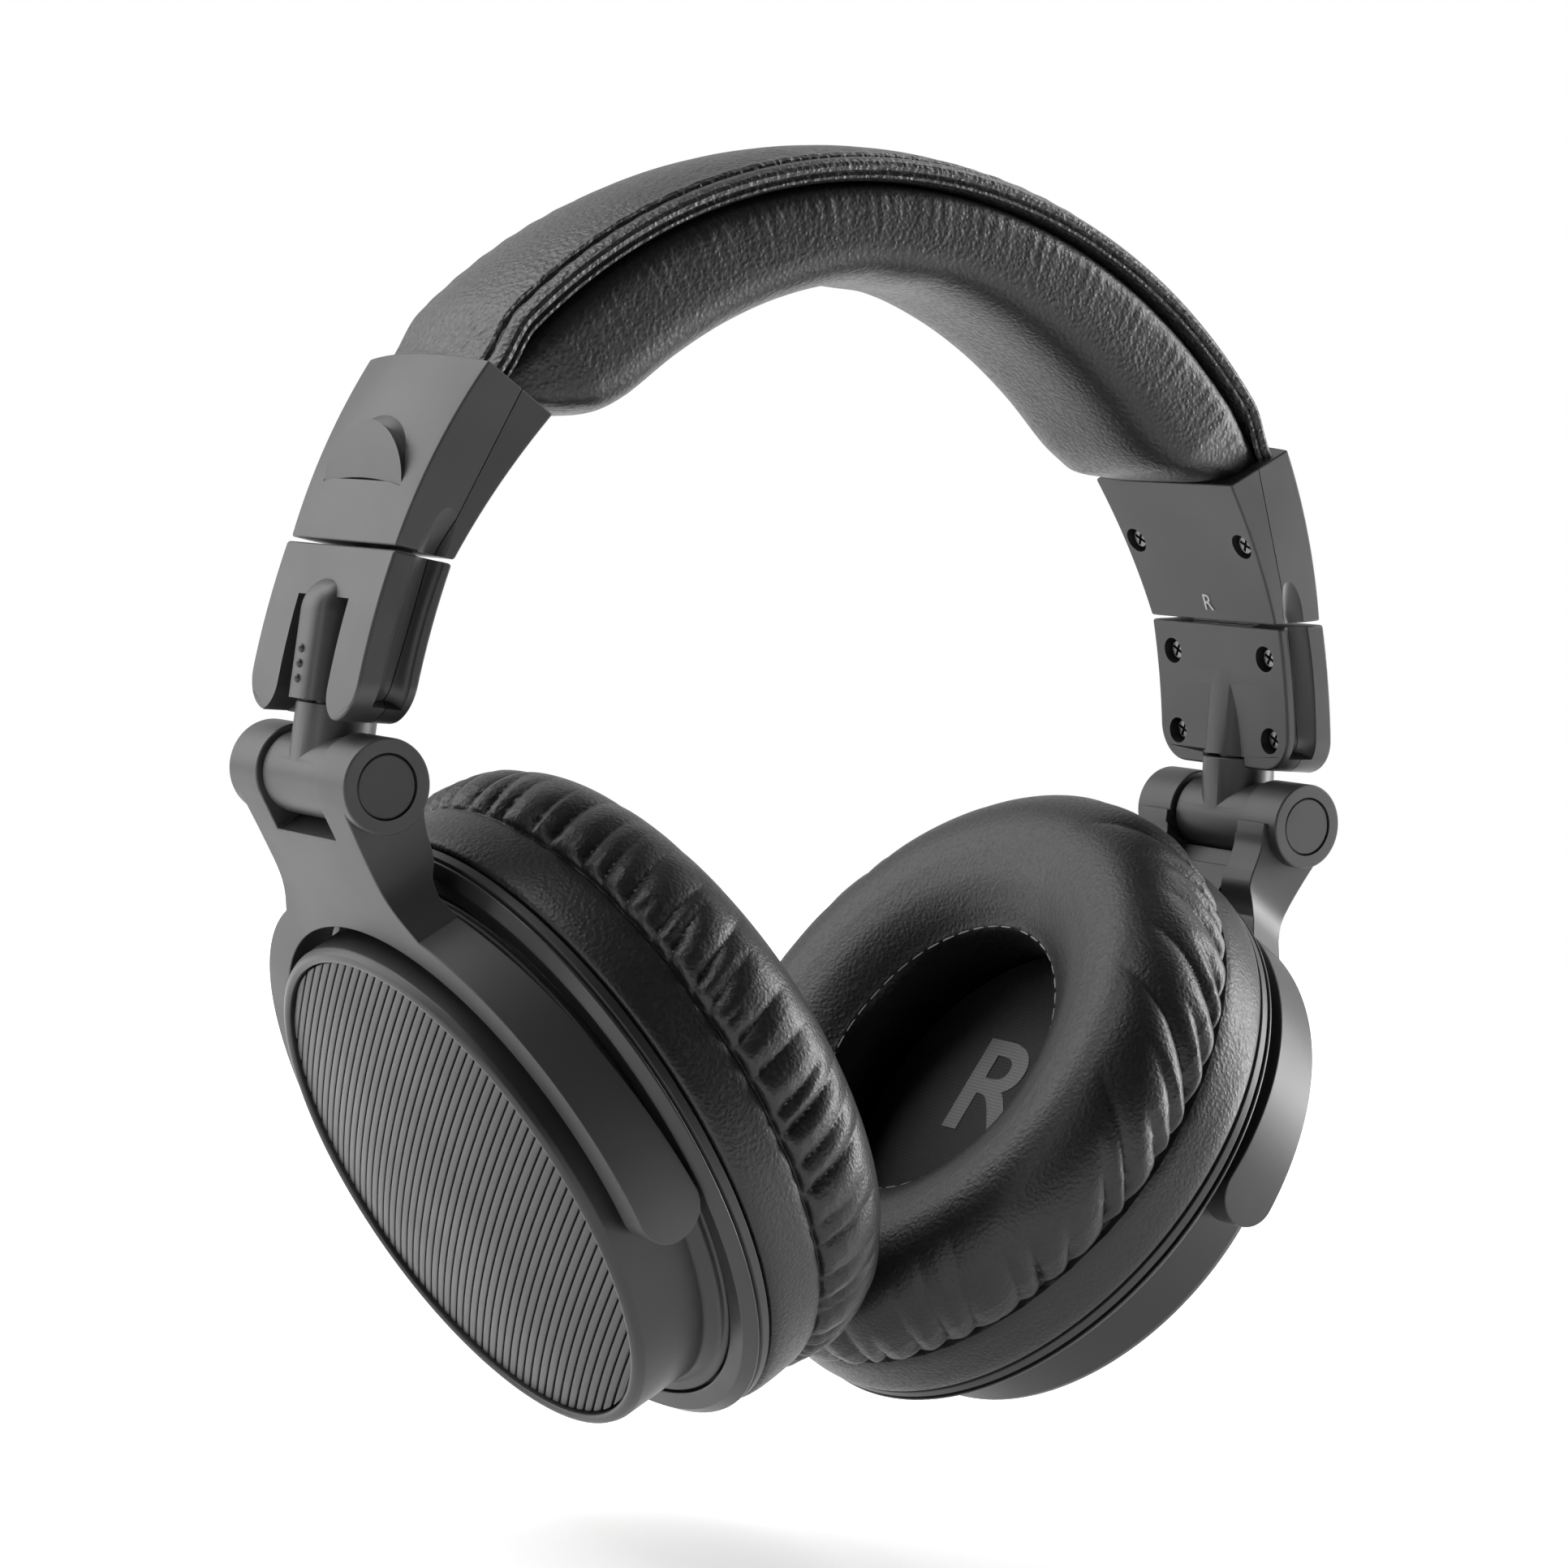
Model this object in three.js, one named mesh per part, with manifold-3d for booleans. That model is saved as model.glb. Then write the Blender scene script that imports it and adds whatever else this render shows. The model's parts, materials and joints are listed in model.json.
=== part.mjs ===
// Folding over-ear headphones: a sprung, padded headband, and on each side a housing, a slider, a swivel
// knuckle, a forked yoke and an ear cup. Millimetres, +Z up, +X to the wearer's right, +Y to the front.
// The origin is where the wearer's head touches the cushion, at the middle of the headband's underside.

import * as THREE from 'three';
import { mergeVertices } from 'three/addons/utils/BufferGeometryUtils.js';
import Module from 'manifold-3d';

const wasm = await Module();
wasm.setup();

// ---------------------------------------------------------------- driving dimensions

const GAP = 0.3;                    // clearance between pieces that meet
const BIG_ROUND = 32;               // facets round a cup
const SMALL_ROUND = 16;             // facets round a pin or post
const SCREW_ROUND = 10;

const HEADBAND_HALF_WIDTH = 15;
const BAND_CENTRE_Z = -69.5;        // centre of the headband's arc
const COVER_OUTER_R = 87;
const COVER_INNER_R = 83.9;
const COVER_CROWN = 2.2;            // how far the cover's middle stands above its edges
const SPRING_INNER_R = 82.6;
const SPRING_THICKNESS = 1;
const SPRING_HALF_WIDTH = 8;
const SPRING_END_ANGLE = 55.5;      // degrees either side of the top
const CUSHION_OUTER_R = 82.3;
const CUSHION_HALF_WIDTH = 14.6;
const CUSHION_BEVEL = 3.5;

const HOUSING_X = 79.9;             // the housing's outer bottom edge
const HOUSING_Z = -41.8;
const SLIDE_TILT = 23.56;           // degrees from vertical, top leaning inward
const HOUSING_LENGTH = 27.3;
const HOUSING_BOTTOM_HALF_WIDTH = 14.5;
const HOUSING_MOUTH_HALF_WIDTH = 16.1;
const HOUSING_CROWN = 1.9;          // how far the mouth's middle stands above its corners
const HOUSING_TOP_DEPTH = 12;
const HOUSING_BOTTOM_DEPTH = 8.7;
const HOUSING_SPLIT = -6.2;         // where the outer and inner shells meet
const STRIP_THICKNESS = 1.2;
const STRIP_HALF_WIDTH = 7;
const STRIP_TOP = 30;
const STRIP_BOTTOM = -7;

const HINGE_X = 79.3;               // the fold barrel's axis, which runs along Y
const HINGE_Z = -73;
const BARREL_R = 6;
const BARREL_HALF_LENGTH = 8;
const EAR_R = 6.4;
const EAR_OUTER_Y = 16.4;
const HINGE_PIN_R = 2.4;
const HINGE_HEAD_R = 4.3;
const HINGE_HEAD_THICKNESS = 1.2;
const SWIVEL_TILT = 4;              // the post leans inward this many degrees
const POST_R = 2.95;
const POST_TOP = 20;
const CLIP_HEIGHT = 16.8;
const CLIP_THICKNESS = 0.8;
const CLIP_R = 3.9;
const POST_GROOVE_R = 2.1;
const COLLAR_R = 5.6;               // the knuckle's collar, between the barrel and the block
const COLLAR_TOP = 9.4;
const BOSS_R = 5.25;                // the round boss on the block's inner half that the post turns in
const BOSS_LEAN = 1;

const CUP_LEAN = 32.3;              // the cup's face leans in at the bottom by this many degrees
const HINGE_ABOVE_CUP = 60.6;
const HINGE_BEHIND_FACE = 8.9;
const DRUM_R = 38.5;
const DRUM_WALL = 2;
const FLANGE_R = 45.9;
const FLANGE_DEPTH = 12.6;          // from the ribbed face's edge back to the flange
const PLATE_R = 36.2;
const PLATE_DOME = 2.5;             // how far the middle of the ribbed plate stands above its edge
const PLATE_EDGE_DEPTH = 0.2;
const PLATE_FLAT_R = 8;             // the flat in the plate's middle
const YOKE_FRONT = 2.5;
const YOKE_ARM_DEPTH = 9.5;
const YOKE_INNER_R = 40.4;
const YOKE_OUTER_R = 45;
const PIVOT_DEPTH = 7.5;
const PIVOT_PIN_R = 1.8;
const JACK_SLEEVE_R = 4.2;
const JACK_ANGLE = 25;              // degrees forward of the cup's lowest point
const JACK_BORE_R = { left: 1.8, right: 3.2 };

// ---------------------------------------------------------------- finishes

const FINISHES = {
  satin_plastic: { color: 0x3a3a3c, roughness: 0.5, metalness: 0 },
  dark_plastic: { color: 0x1b1b1c, roughness: 0.55, metalness: 0 },
  leather: { color: 0x151516, roughness: 0.6, metalness: 0 },
  steel: { color: 0xa8a9ab, roughness: 0.35, metalness: 1 },
  black_steel: { color: 0x222224, roughness: 0.4, metalness: 1 },
  cone: { color: 0x2a2a2c, roughness: 0.4, metalness: 0 },
  scrim: { color: 0x101011, roughness: 0.95, metalness: 0 },
  brass: { color: 0xb08d4a, roughness: 0.35, metalness: 1 },
};

// ---------------------------------------------------------------- solids and booleans

const radians = THREE.MathUtils.degToRad;
const MERGE_DISTANCE = 1e-4;

/** A closed geometry as a manifold solid, with shared corners merged and its faces pointing out. */
function solid(geometry) {
  const bare = geometry.clone();
  bare.deleteAttribute('normal');
  bare.deleteAttribute('uv');
  const merged = mergeVertices(bare, MERGE_DISTANCE);
  const position = merged.attributes.position;
  const index = merged.index.array;
  const corner = [new THREE.Vector3(), new THREE.Vector3(), new THREE.Vector3()];
  const triangles = [];
  let volume = 0;
  for (let i = 0; i < index.length; i += 3) {
    const [a, b, c] = [index[i], index[i + 1], index[i + 2]];
    if (a === b || b === c || c === a) continue;
    triangles.push(a, b, c);
    corner.forEach((v, k) => v.fromBufferAttribute(position, index[i + k]));
    volume += corner[0].dot(corner[1].cross(corner[2]));
  }
  if (volume < 0) triangles.reverse();
  return new wasm.Manifold(new wasm.Mesh({
    numProp: 3,
    vertProperties: new Float32Array(position.array),
    triVerts: new Uint32Array(triangles),
  }));
}

/** The geometry of a manifold solid, mirrored in X where mirror is -1. */
function toGeometry(manifold, mirror = 1) {
  const mesh = manifold.getMesh();
  const geometry = new THREE.BufferGeometry();
  const triangles = new Uint32Array(mesh.triVerts);
  if (mirror < 0) triangles.reverse();
  geometry.setAttribute('position', new THREE.BufferAttribute(new Float32Array(mesh.vertProperties), 3));
  geometry.setIndex(new THREE.BufferAttribute(triangles, 1));
  geometry.scale(mirror, 1, 1);
  return geometry;
}

const join = (first, ...others) => others.reduce((whole, other) => whole.add(other), first);
const cut = (first, ...others) => others.reduce((whole, other) => whole.subtract(other), first);

// ---------------------------------------------------------------- shapes

/** An outline in X and Z, extruded along Y. */
function extrudeAcross(outline, fromY, toY, bevel = 0) {
  const geometry = new THREE.ExtrudeGeometry(outline, {
    depth: toY - fromY - 2 * bevel,
    curveSegments: 6,
    bevelEnabled: bevel > 0,
    bevelThickness: bevel,
    bevelSize: bevel,
    bevelOffset: -bevel,
    bevelSegments: 2,
  });
  return geometry.rotateX(Math.PI / 2).translate(0, toY - bevel, 0);
}

/** An outline in Y and Z, extruded along X. */
function extrudeOutward(outline, fromX, toX) {
  const depth = toX - fromX;
  const geometry = new THREE.ExtrudeGeometry(outline, { depth, bevelEnabled: false });
  const [x, y, z] = [new THREE.Vector3(1, 0, 0), new THREE.Vector3(0, 1, 0), new THREE.Vector3(0, 0, 1)];
  return geometry.applyMatrix4(new THREE.Matrix4().makeBasis(y, z, x)).translate(fromX, 0, 0);
}

/** A closed [radius, depth] profile turned about the X axis, depth measured inward from X = 0. */
function revolve(profile, facets = BIG_ROUND) {
  const points = profile.map(([radius, depth]) => new THREE.Vector2(radius, -depth));
  return new THREE.LatheGeometry(points, facets).rotateZ(-Math.PI / 2);
}

function polygon(points) {
  return new THREE.Shape(points.map(([x, z]) => new THREE.Vector2(x, z)));
}

function box([x0, x1], [y0, y1], [z0, z1]) {
  const geometry = new THREE.BoxGeometry(x1 - x0, y1 - y0, z1 - z0);
  return geometry.translate((x0 + x1) / 2, (y0 + y1) / 2, (z0 + z1) / 2);
}

/** A rod along Y, through X and Z. */
function rodAcross(radius, fromY, toY, x = 0, z = 0, facets = SMALL_ROUND) {
  const geometry = new THREE.CylinderGeometry(radius, radius, toY - fromY, facets);
  return geometry.translate(x, (fromY + toY) / 2, z);
}

/** A rod along Z from one height to another, with its own radius at each end. */
function rodUp(bottomRadius, topRadius, fromZ, toZ, facets = SMALL_ROUND) {
  const geometry = new THREE.CylinderGeometry(topRadius, bottomRadius, toZ - fromZ, facets);
  return geometry.rotateX(Math.PI / 2).translate(0, 0, (fromZ + toZ) / 2);
}

/** Points of a circular arc as [across, along] pairs, from one angle to another in degrees. */
function arc([centreX, centreY], radius, fromAngle, toAngle, steps) {
  return Array.from({ length: steps + 1 }, (_, i) => {
    const angle = radians(fromAngle + (toAngle - fromAngle) * i / steps);
    return [centreX + radius * Math.cos(angle), centreY + radius * Math.sin(angle)];
  });
}

// ---------------------------------------------------------------- frames

/** From the housing's frame (X out of its outer face, Z up its length) to the headband's frame. */
function housingToHeadband(geometry) {
  return geometry.rotateY(radians(-SLIDE_TILT)).translate(HOUSING_X, 0, HOUSING_Z);
}

/** From the housing's frame to the hinge's, which has its origin on the barrel's axis. */
function housingToHinge(geometry) {
  return geometry.rotateY(radians(-SLIDE_TILT)).translate(HOUSING_X - HINGE_X, 0, HOUSING_Z - HINGE_Z);
}

/** From the hinge's frame to the housing's. */
function hingeToHousing(geometry) {
  return geometry.translate(HINGE_X - HOUSING_X, 0, HINGE_Z - HOUSING_Z).rotateY(radians(SLIDE_TILT));
}

/** Leans a shape that stands on the Z axis, so that it stands on the swivel post's axis. */
function onPost(geometry) {
  return geometry.rotateY(radians(-SWIVEL_TILT));
}

function frameGroup(mirror, x, z, tilt) {
  const group = new THREE.Group();
  group.position.set(mirror * x, 0, z);
  group.rotation.y = mirror * radians(tilt);
  return group;
}

function addPiece(group, mirror, name, finish, manifold) {
  const mesh = new THREE.Mesh(toGeometry(manifold, mirror), new THREE.MeshStandardMaterial(FINISHES[finish]));
  mesh.name = name;
  group.add(mesh);
}

// ---------------------------------------------------------------- headband

/** A closed [radius, Y] profile turned about the headband's centre line, kept within an angle of the top. */
function archSection(profile, halfAngle) {
  const points = profile.map(([radius, y]) => new THREE.Vector2(radius, y));
  const ring = solid(new THREE.LatheGeometry(points, 60)).intersect(solid(wedge(halfAngle)));
  return solid(toGeometry(ring).translate(0, 0, BAND_CENTRE_Z));
}

function wedge(halfAngle) {
  const reach = 2 * COVER_OUTER_R;
  const side = [reach * Math.sin(radians(halfAngle)), reach * Math.cos(radians(halfAngle))];
  return extrudeAcross(polygon([[0, 0], side, [-side[0], side[1]]]), -30, 30);
}

/** The space below the top face of both housings, which the headband's soft pieces stop at. */
function housingSpace(clearance) {
  const top = [[8, HOUSING_LENGTH + 1], [-20, HOUSING_LENGTH - 2.5]].map(([x, z]) => [x, z + clearance]);
  const outline = polygon([...top, [-20, -20], [8, -20]]);
  const right = solid(housingToHeadband(extrudeAcross(outline, -20, 20)));
  return join(right, solid(toGeometry(right, -1)));
}

/** The slider strip's way through the headband's end, on both sides. */
function stripSpace() {
  const clearance = 0.4;
  const halfThickness = STRIP_THICKNESS / 2 + clearance;
  const halfWidth = STRIP_HALF_WIDTH + clearance;
  const slot = box(
    [HOUSING_SPLIT - halfThickness, HOUSING_SPLIT + halfThickness],
    [-halfWidth, halfWidth],
    [HOUSING_LENGTH - 5, STRIP_TOP + clearance],
  );
  const right = solid(housingToHeadband(slot));
  return join(right, solid(toGeometry(right, -1)));
}

function headbandCover() {
  const edge = HEADBAND_HALF_WIDTH;
  const crownRadius = (edge ** 2 + COVER_CROWN ** 2) / (2 * COVER_CROWN);
  const spread = Math.asin(edge / crownRadius) * 180 / Math.PI;
  const crownCentre = [COVER_OUTER_R + COVER_CROWN - crownRadius, 0];
  const crown = arc(crownCentre, crownRadius, -spread, spread, 8);
  const profile = [[COVER_INNER_R, -edge], ...crown, [COVER_INNER_R, edge], [COVER_INNER_R, -edge]];
  return cut(archSection(profile, 60), housingSpace(0.4));
}

function springBand(halfWidth, innerR, thickness, halfAngle) {
  const outerR = innerR + thickness;
  const profile = [
    [innerR, -halfWidth],
    [outerR, -halfWidth],
    [outerR, halfWidth],
    [innerR, halfWidth],
    [innerR, -halfWidth],
  ];
  return archSection(profile, halfAngle);
}

/** The padded underside: thickest over the temples, flat for a short way where the head rests. */
function headbandCushion() {
  const restHalfLength = 5;
  const endAngle = 32;
  const underside = new THREE.SplineCurve([
    [restHalfLength, 0],
    [12, -1.1],
    [19, -3.7],
    [28, -8],
    [36, -13.4],
    [44, -19.9],
    [50, -22.4],
    [56, -24],
    [62, -27],
  ].map(([x, z]) => new THREE.Vector2(x, z)));
  const right = underside.getPoints(14).map(({ x, y }) => [x, y]);
  const left = right.map(([x, z]) => [-x, z]).reverse();
  const top = arc([0, BAND_CENTRE_Z], CUSHION_OUTER_R, endAngle, 180 - endAngle, 20);
  const outline = polygon([...right, ...top, ...left]);
  const body = solid(extrudeAcross(outline, -CUSHION_HALF_WIDTH, CUSHION_HALF_WIDTH, CUSHION_BEVEL));
  return cut(body, housingSpace(0.4), stripSpace());
}

// ---------------------------------------------------------------- housing and slider

/** A machine screw along X with its head at the inner end, which is at X = 0. */
function screw(length) {
  const profile = [
    [0, 0],
    [1.6, 0],
    [1.6, -0.9],
    [0.9, -1.1],
    [0.9, -length],
    [0, -length],
  ];
  return revolve(profile, SCREW_ROUND);
}

/** The hole for such a screw, with a recess for its head that is open at the inner face. */
function screwHole(length) {
  const profile = [
    [0, 6],
    [1.95, 6],
    [1.95, -1.2],
    [1.2, -1.2],
    [1.2, -length - 0.5],
    [0, -length - 0.5],
  ];
  return revolve(profile, SCREW_ROUND);
}

const HOUSING_SCREWS = [[-12.4, 15.2], [12.4, 15.2]];
const HOUSING_SCREW_X = -9.4;
const HOUSING_SCREW_LENGTH = 6.5;

function housingOutline() {
  const outerBulge = 2;
  const innerHollow = 3;
  const topSlope = 1.5;
  const bottomSlope = 2.4;
  const outline = new THREE.Shape();
  outline.moveTo(0, 0);
  outline.quadraticCurveTo(outerBulge, HOUSING_LENGTH / 2, 0, HOUSING_LENGTH);
  outline.lineTo(-HOUSING_TOP_DEPTH, HOUSING_LENGTH - topSlope);
  outline.quadraticCurveTo(
    -HOUSING_TOP_DEPTH + innerHollow, HOUSING_LENGTH / 2,
    -HOUSING_BOTTOM_DEPTH, bottomSlope,
  );
  outline.closePath();
  return outline;
}

/** The housing's block, wider towards its mouth, with its outer face crowned to follow the leather. */
function flaredHousing() {
  const geometry = new THREE.ExtrudeGeometry(housingOutline(), {
    depth: 2,
    steps: 8,
    curveSegments: 6,
    bevelEnabled: false,
  });
  geometry.rotateX(Math.PI / 2).translate(0, 1, 0);
  const position = geometry.attributes.position;
  for (let i = 0; i < position.count; i += 1) {
    const [x, across, z] = [position.getX(i), position.getY(i), position.getZ(i)];
    const up = z / HOUSING_LENGTH;
    const outer = Math.min(1 + x / HOUSING_TOP_DEPTH, 1);
    const halfWidth = THREE.MathUtils.lerp(HOUSING_BOTTOM_HALF_WIDTH, HOUSING_MOUTH_HALF_WIDTH, up);
    position.setX(i, x + HOUSING_CROWN * up * outer * (1 - across ** 2));
    position.setY(i, across * halfWidth);
  }
  return geometry;
}

/** A half-moon thumb rest on the housing's outer face, level with it at the foot and proud at the top. */
function thumbRest() {
  const halfWidth = 10.6;
  const foot = 8;
  const height = 8;
  const upright = polygon([[-1, foot - 1], [0.98, foot - 1], [3.2, foot + height], [-1, foot + height]]);
  const block = solid(extrudeAcross(upright, -halfWidth, halfWidth));
  const moon = rodAcross(1, -1, 1, 0, 0, 24).rotateZ(Math.PI / 2).scale(4, halfWidth, height);
  return block.intersect(solid(moon.translate(0, 0, foot)));
}

function housingShells() {
  const full = join(solid(flaredHousing()), thumbRest());
  const slot = solid(box(
    [HOUSING_SPLIT - STRIP_THICKNESS / 2 - GAP, HOUSING_SPLIT + STRIP_THICKNESS / 2 + GAP],
    [-STRIP_HALF_WIDTH - GAP, STRIP_HALF_WIDTH + GAP],
    [-2, HOUSING_LENGTH + 2],
  ));
  const springPocket = solid(box([HOUSING_SPLIT, -1.8], [-8.6, 8.6], [3, 24.6]));
  const bandWay = springBand(
    SPRING_HALF_WIDTH + GAP, SPRING_INNER_R - GAP, SPRING_THICKNESS + 2 * GAP, SPRING_END_ANGLE + 1,
  );
  const bandSlot = solid(headbandToHousing(toGeometry(bandWay)));
  const holes = HOUSING_SCREWS.map(([y, z]) => solid(
    screwHole(HOUSING_SCREW_LENGTH).translate(HOUSING_SCREW_X, y, z),
  ));
  const grooves = [1, -1].map((mirrorY) => solid(hingeToHousing(sideGroove(mirrorY))));
  const spaces = [slot, ...holes, ...grooves];
  const outerSide = solid(box([HOUSING_SPLIT + GAP / 2, 10], [-20, 20], [-10, 40]));
  const innerSide = solid(box([-30, HOUSING_SPLIT - GAP / 2], [-20, 20], [-10, 40]));
  return {
    outer: cut(full.intersect(outerSide), springPocket, bandSlot, ...spaces),
    inner: cut(full.intersect(innerSide), ...spaces),
  };
}

function headbandToHousing(geometry) {
  return geometry.translate(-HOUSING_X, 0, -HOUSING_Z).rotateY(radians(SLIDE_TILT));
}

/** A bowed leaf in the housing that presses towards the strip and gives the slider its clicks. */
function detentSpring() {
  const thickness = 0.5;
  const outerX = -2.3;
  const bowX = -7.2;
  const [bottom, top] = [4, 18];
  const middle = (bottom + top) / 2;
  const outline = new THREE.Shape();
  outline.moveTo(outerX, bottom);
  outline.quadraticCurveTo(bowX, middle, outerX, top);
  outline.lineTo(outerX + thickness, top);
  outline.quadraticCurveTo(bowX + thickness, middle, outerX + thickness, bottom);
  outline.closePath();
  return solid(extrudeAcross(outline, -3, 3));
}

function sliderStrip() {
  return solid(box(
    [HOUSING_SPLIT - STRIP_THICKNESS / 2, HOUSING_SPLIT + STRIP_THICKNESS / 2],
    [-STRIP_HALF_WIDTH, STRIP_HALF_WIDTH],
    [STRIP_BOTTOM, STRIP_TOP],
  ));
}

// The block below is in the hinge's frame: X outward and Z up from the barrel's axis.

const BLOCK_BOTTOM = 7.8;
const BLOCK_CORNER_R = 5.5;
const TONGUE_BOTTOM = 9.7;
const BLOCK_LEAN = 11.9;            // the block's faces lean in at the top by this many degrees
const BLOCK_SCREWS = [[-10.8, 24.9], [10.8, 24.9], [-10.8, 12.6], [10.8, 12.6]];
const BLOCK_SCREW_LENGTH = 5.2;
const WINDOW_HALF_WIDTH = 7;        // the opening in the outer half, round the tongue
const WINDOW_TOP = 23.8;
const WINDOW_BACK = 1.4;
const TONGUE_HALF_DEPTH = 6.5;
const TONGUE_HALF_WIDTH = 4.4;
const TONGUE_SHOULDER = 21.5;       // where its rounded nose starts
const TONGUE_NOSE = 5.2;

function blockSide() {
  const outline = new THREE.Shape();
  outline.moveTo(5.3, BLOCK_BOTTOM);
  outline.quadraticCurveTo(4.3, 19, 0.9, 30.65);
  outline.lineTo(-7.9, 29.35);
  outline.quadraticCurveTo(-4.8, 19, -3.6, BLOCK_BOTTOM);
  outline.closePath();
  return outline;
}

/** The block seen from outside, with rounded lower corners. */
function blockFront() {
  const half = HEADBAND_HALF_WIDTH;
  const low = BLOCK_BOTTOM + BLOCK_CORNER_R;
  const corner = (centreY, fromAngle) => arc([centreY, low], BLOCK_CORNER_R, fromAngle, fromAngle + 90, 4);
  return polygon([
    [-half, 40],
    ...corner(-half + BLOCK_CORNER_R, 180),
    ...corner(half - BLOCK_CORNER_R, 270),
    [half, 40],
  ]);
}

/** The block's seam plane, with all that lies outside it (side 1) or inside it (side -1). */
function blockHalf(side) {
  const seam = [[-5.6, 32.5], [0.7, 5.8]].map(([x, z]) => [x + side * GAP / 2, z]);
  return solid(extrudeAcross(polygon([...seam, [side * 30, 5.8], [side * 30, 32.5]]), -20, 20));
}

function blockScrewAt(geometry, [y, z]) {
  const innerFaceX = -3.2 - (z - BLOCK_BOTTOM) * Math.tan(radians(BLOCK_LEAN));
  return geometry.rotateY(radians(-BLOCK_LEAN)).translate(innerFaceX + 1.2, y, z);
}

/** The tongue over the post: a squarish oval column with a rounded nose that sinks into the block. */
function blockTongue() {
  const nose = arc([0, 0], 1, 0, 90, 4).map(([r, rise]) => [r, TONGUE_SHOULDER + TONGUE_NOSE * rise]);
  const profile = [[0, TONGUE_BOTTOM], [1, TONGUE_BOTTOM], ...nose];
  const column = new THREE.LatheGeometry(profile.map(([r, z]) => new THREE.Vector2(r, z)), 24);
  column.rotateX(Math.PI / 2);
  const position = column.attributes.position;
  for (let i = 0; i < position.count; i += 1) {
    const [x, y] = [position.getX(i), position.getY(i)];
    const squared = (Math.hypot(x, y) || 1) / (Math.cbrt(Math.abs(x) ** 3 + Math.abs(y) ** 3) || 1);
    position.setX(i, x * squared * TONGUE_HALF_DEPTH);
    position.setY(i, y * squared * TONGUE_HALF_WIDTH);
  }
  return solid(onPost(column));
}

const GROOVE_R = 2.4;
const GROOVE_Y = 15.9;              // the cutter's centre line, just outside the side face
const GROOVE_BEND_R = 82.4;
const GROOVE_CENTRE = [-82.6, 3.5]; // what its line bends round

/** The half-round groove down a side face along the seam, which fades out at the foot of the housing. */
function sideGroove(mirrorY) {
  const fadeStart = 31.5;
  const fadeLength = 5;
  const fadeOut = 1.6;
  const points = arc(GROOVE_CENTRE, GROOVE_BEND_R, 3.4, 27, 8).map(([x, z]) => {
    const fade = Math.max(0, (z - fadeStart) / fadeLength);
    return new THREE.Vector3(x, (GROOVE_Y + fadeOut * fade) * mirrorY, z);
  });
  const section = new THREE.Shape().absarc(0, 0, GROOVE_R, 0, 2 * Math.PI, false);
  const extrudePath = new THREE.CatmullRomCurve3(points);
  return new THREE.ExtrudeGeometry(section, { steps: 8, curveSegments: 5, extrudePath });
}

function blockShells() {
  const body = solid(extrudeAcross(blockSide(), -HEADBAND_HALF_WIDTH, HEADBAND_HALF_WIDTH))
    .intersect(solid(extrudeOutward(blockFront(), -12, 12)));
  const bossRod = rodUp(BOSS_R, BOSS_R, TONGUE_BOTTOM, 26, 24);
  const boss = solid(bossRod.rotateY(radians(-BOSS_LEAN)).translate(-0.5, 0, 0));
  const window = solid(box([WINDOW_BACK, 9], [-WINDOW_HALF_WIDTH, WINDOW_HALF_WIDTH], [0, WINDOW_TOP]));
  const postBore = solid(onPost(rodUp(POST_R + GAP, POST_R + GAP, 0, POST_TOP + 0.5)));
  const clipSpace = solid(onPost(rodUp(CLIP_R + GAP, CLIP_R + GAP, CLIP_HEIGHT - 0.7, CLIP_HEIGHT + 1.5)));
  const collarSpace = solid(onPost(rodUp(COLLAR_R + GAP, COLLAR_R + GAP, 0, TONGUE_BOTTOM, 24)));
  const stripSlot = solid(housingToHinge(box(
    [HOUSING_SPLIT - STRIP_THICKNESS / 2 - GAP, HOUSING_SPLIT + STRIP_THICKNESS / 2 + GAP],
    [-STRIP_HALF_WIDTH - GAP, STRIP_HALF_WIDTH + GAP],
    [STRIP_BOTTOM - GAP, 10],
  )));
  const holes = BLOCK_SCREWS.map((place) => solid(blockScrewAt(screwHole(BLOCK_SCREW_LENGTH), place)));
  const grooves = [1, -1].map((mirrorY) => solid(sideGroove(mirrorY)));
  const spaces = [postBore, clipSpace, collarSpace, stripSlot, ...holes, ...grooves];
  return {
    outer: cut(join(cut(body, window), blockTongue()).intersect(blockHalf(1)), ...spaces),
    inner: cut(join(body, boss).intersect(blockHalf(-1)), ...spaces),
  };
}

// ---------------------------------------------------------------- knuckle

/** The swivel post on its barrel, with a collar between them that fills the gap below the block. */
function knuckle() {
  const barrel = solid(rodAcross(BARREL_R, -BARREL_HALF_LENGTH, BARREL_HALF_LENGTH, 0, 0, 24));
  const post = solid(onPost(rodUp(POST_R, POST_R, 0, POST_TOP)));
  const collar = solid(onPost(rodUp(COLLAR_R, COLLAR_R, 0, COLLAR_TOP, 24)));
  const pinBore = solid(rodAcross(HINGE_PIN_R + GAP, -20, 20));
  const groove = cut(
    solid(onPost(rodUp(6, 6, CLIP_HEIGHT - GAP, CLIP_HEIGHT + CLIP_THICKNESS + GAP))),
    solid(onPost(rodUp(POST_GROOVE_R, POST_GROOVE_R, 0, 30))),
  );
  return cut(join(barrel, post, collar), pinBore, groove);
}

/** A spring clip, open on one side, that keeps the post in the block. */
function retainingClip() {
  const inner = POST_GROOVE_R + 0.2;
  const ring = cut(
    solid(rodUp(CLIP_R, CLIP_R, CLIP_HEIGHT, CLIP_HEIGHT + CLIP_THICKNESS)),
    solid(rodUp(inner, inner, 0, 30)),
    solid(box([0, 10], [-1.3, 1.3], [0, 30])),
  );
  return solid(onPost(toGeometry(ring)));
}

// ---------------------------------------------------------------- yoke
// The yoke and the cup share one frame: X out of the cup's ribbed face, Z up its face, origin at its middle.

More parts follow.
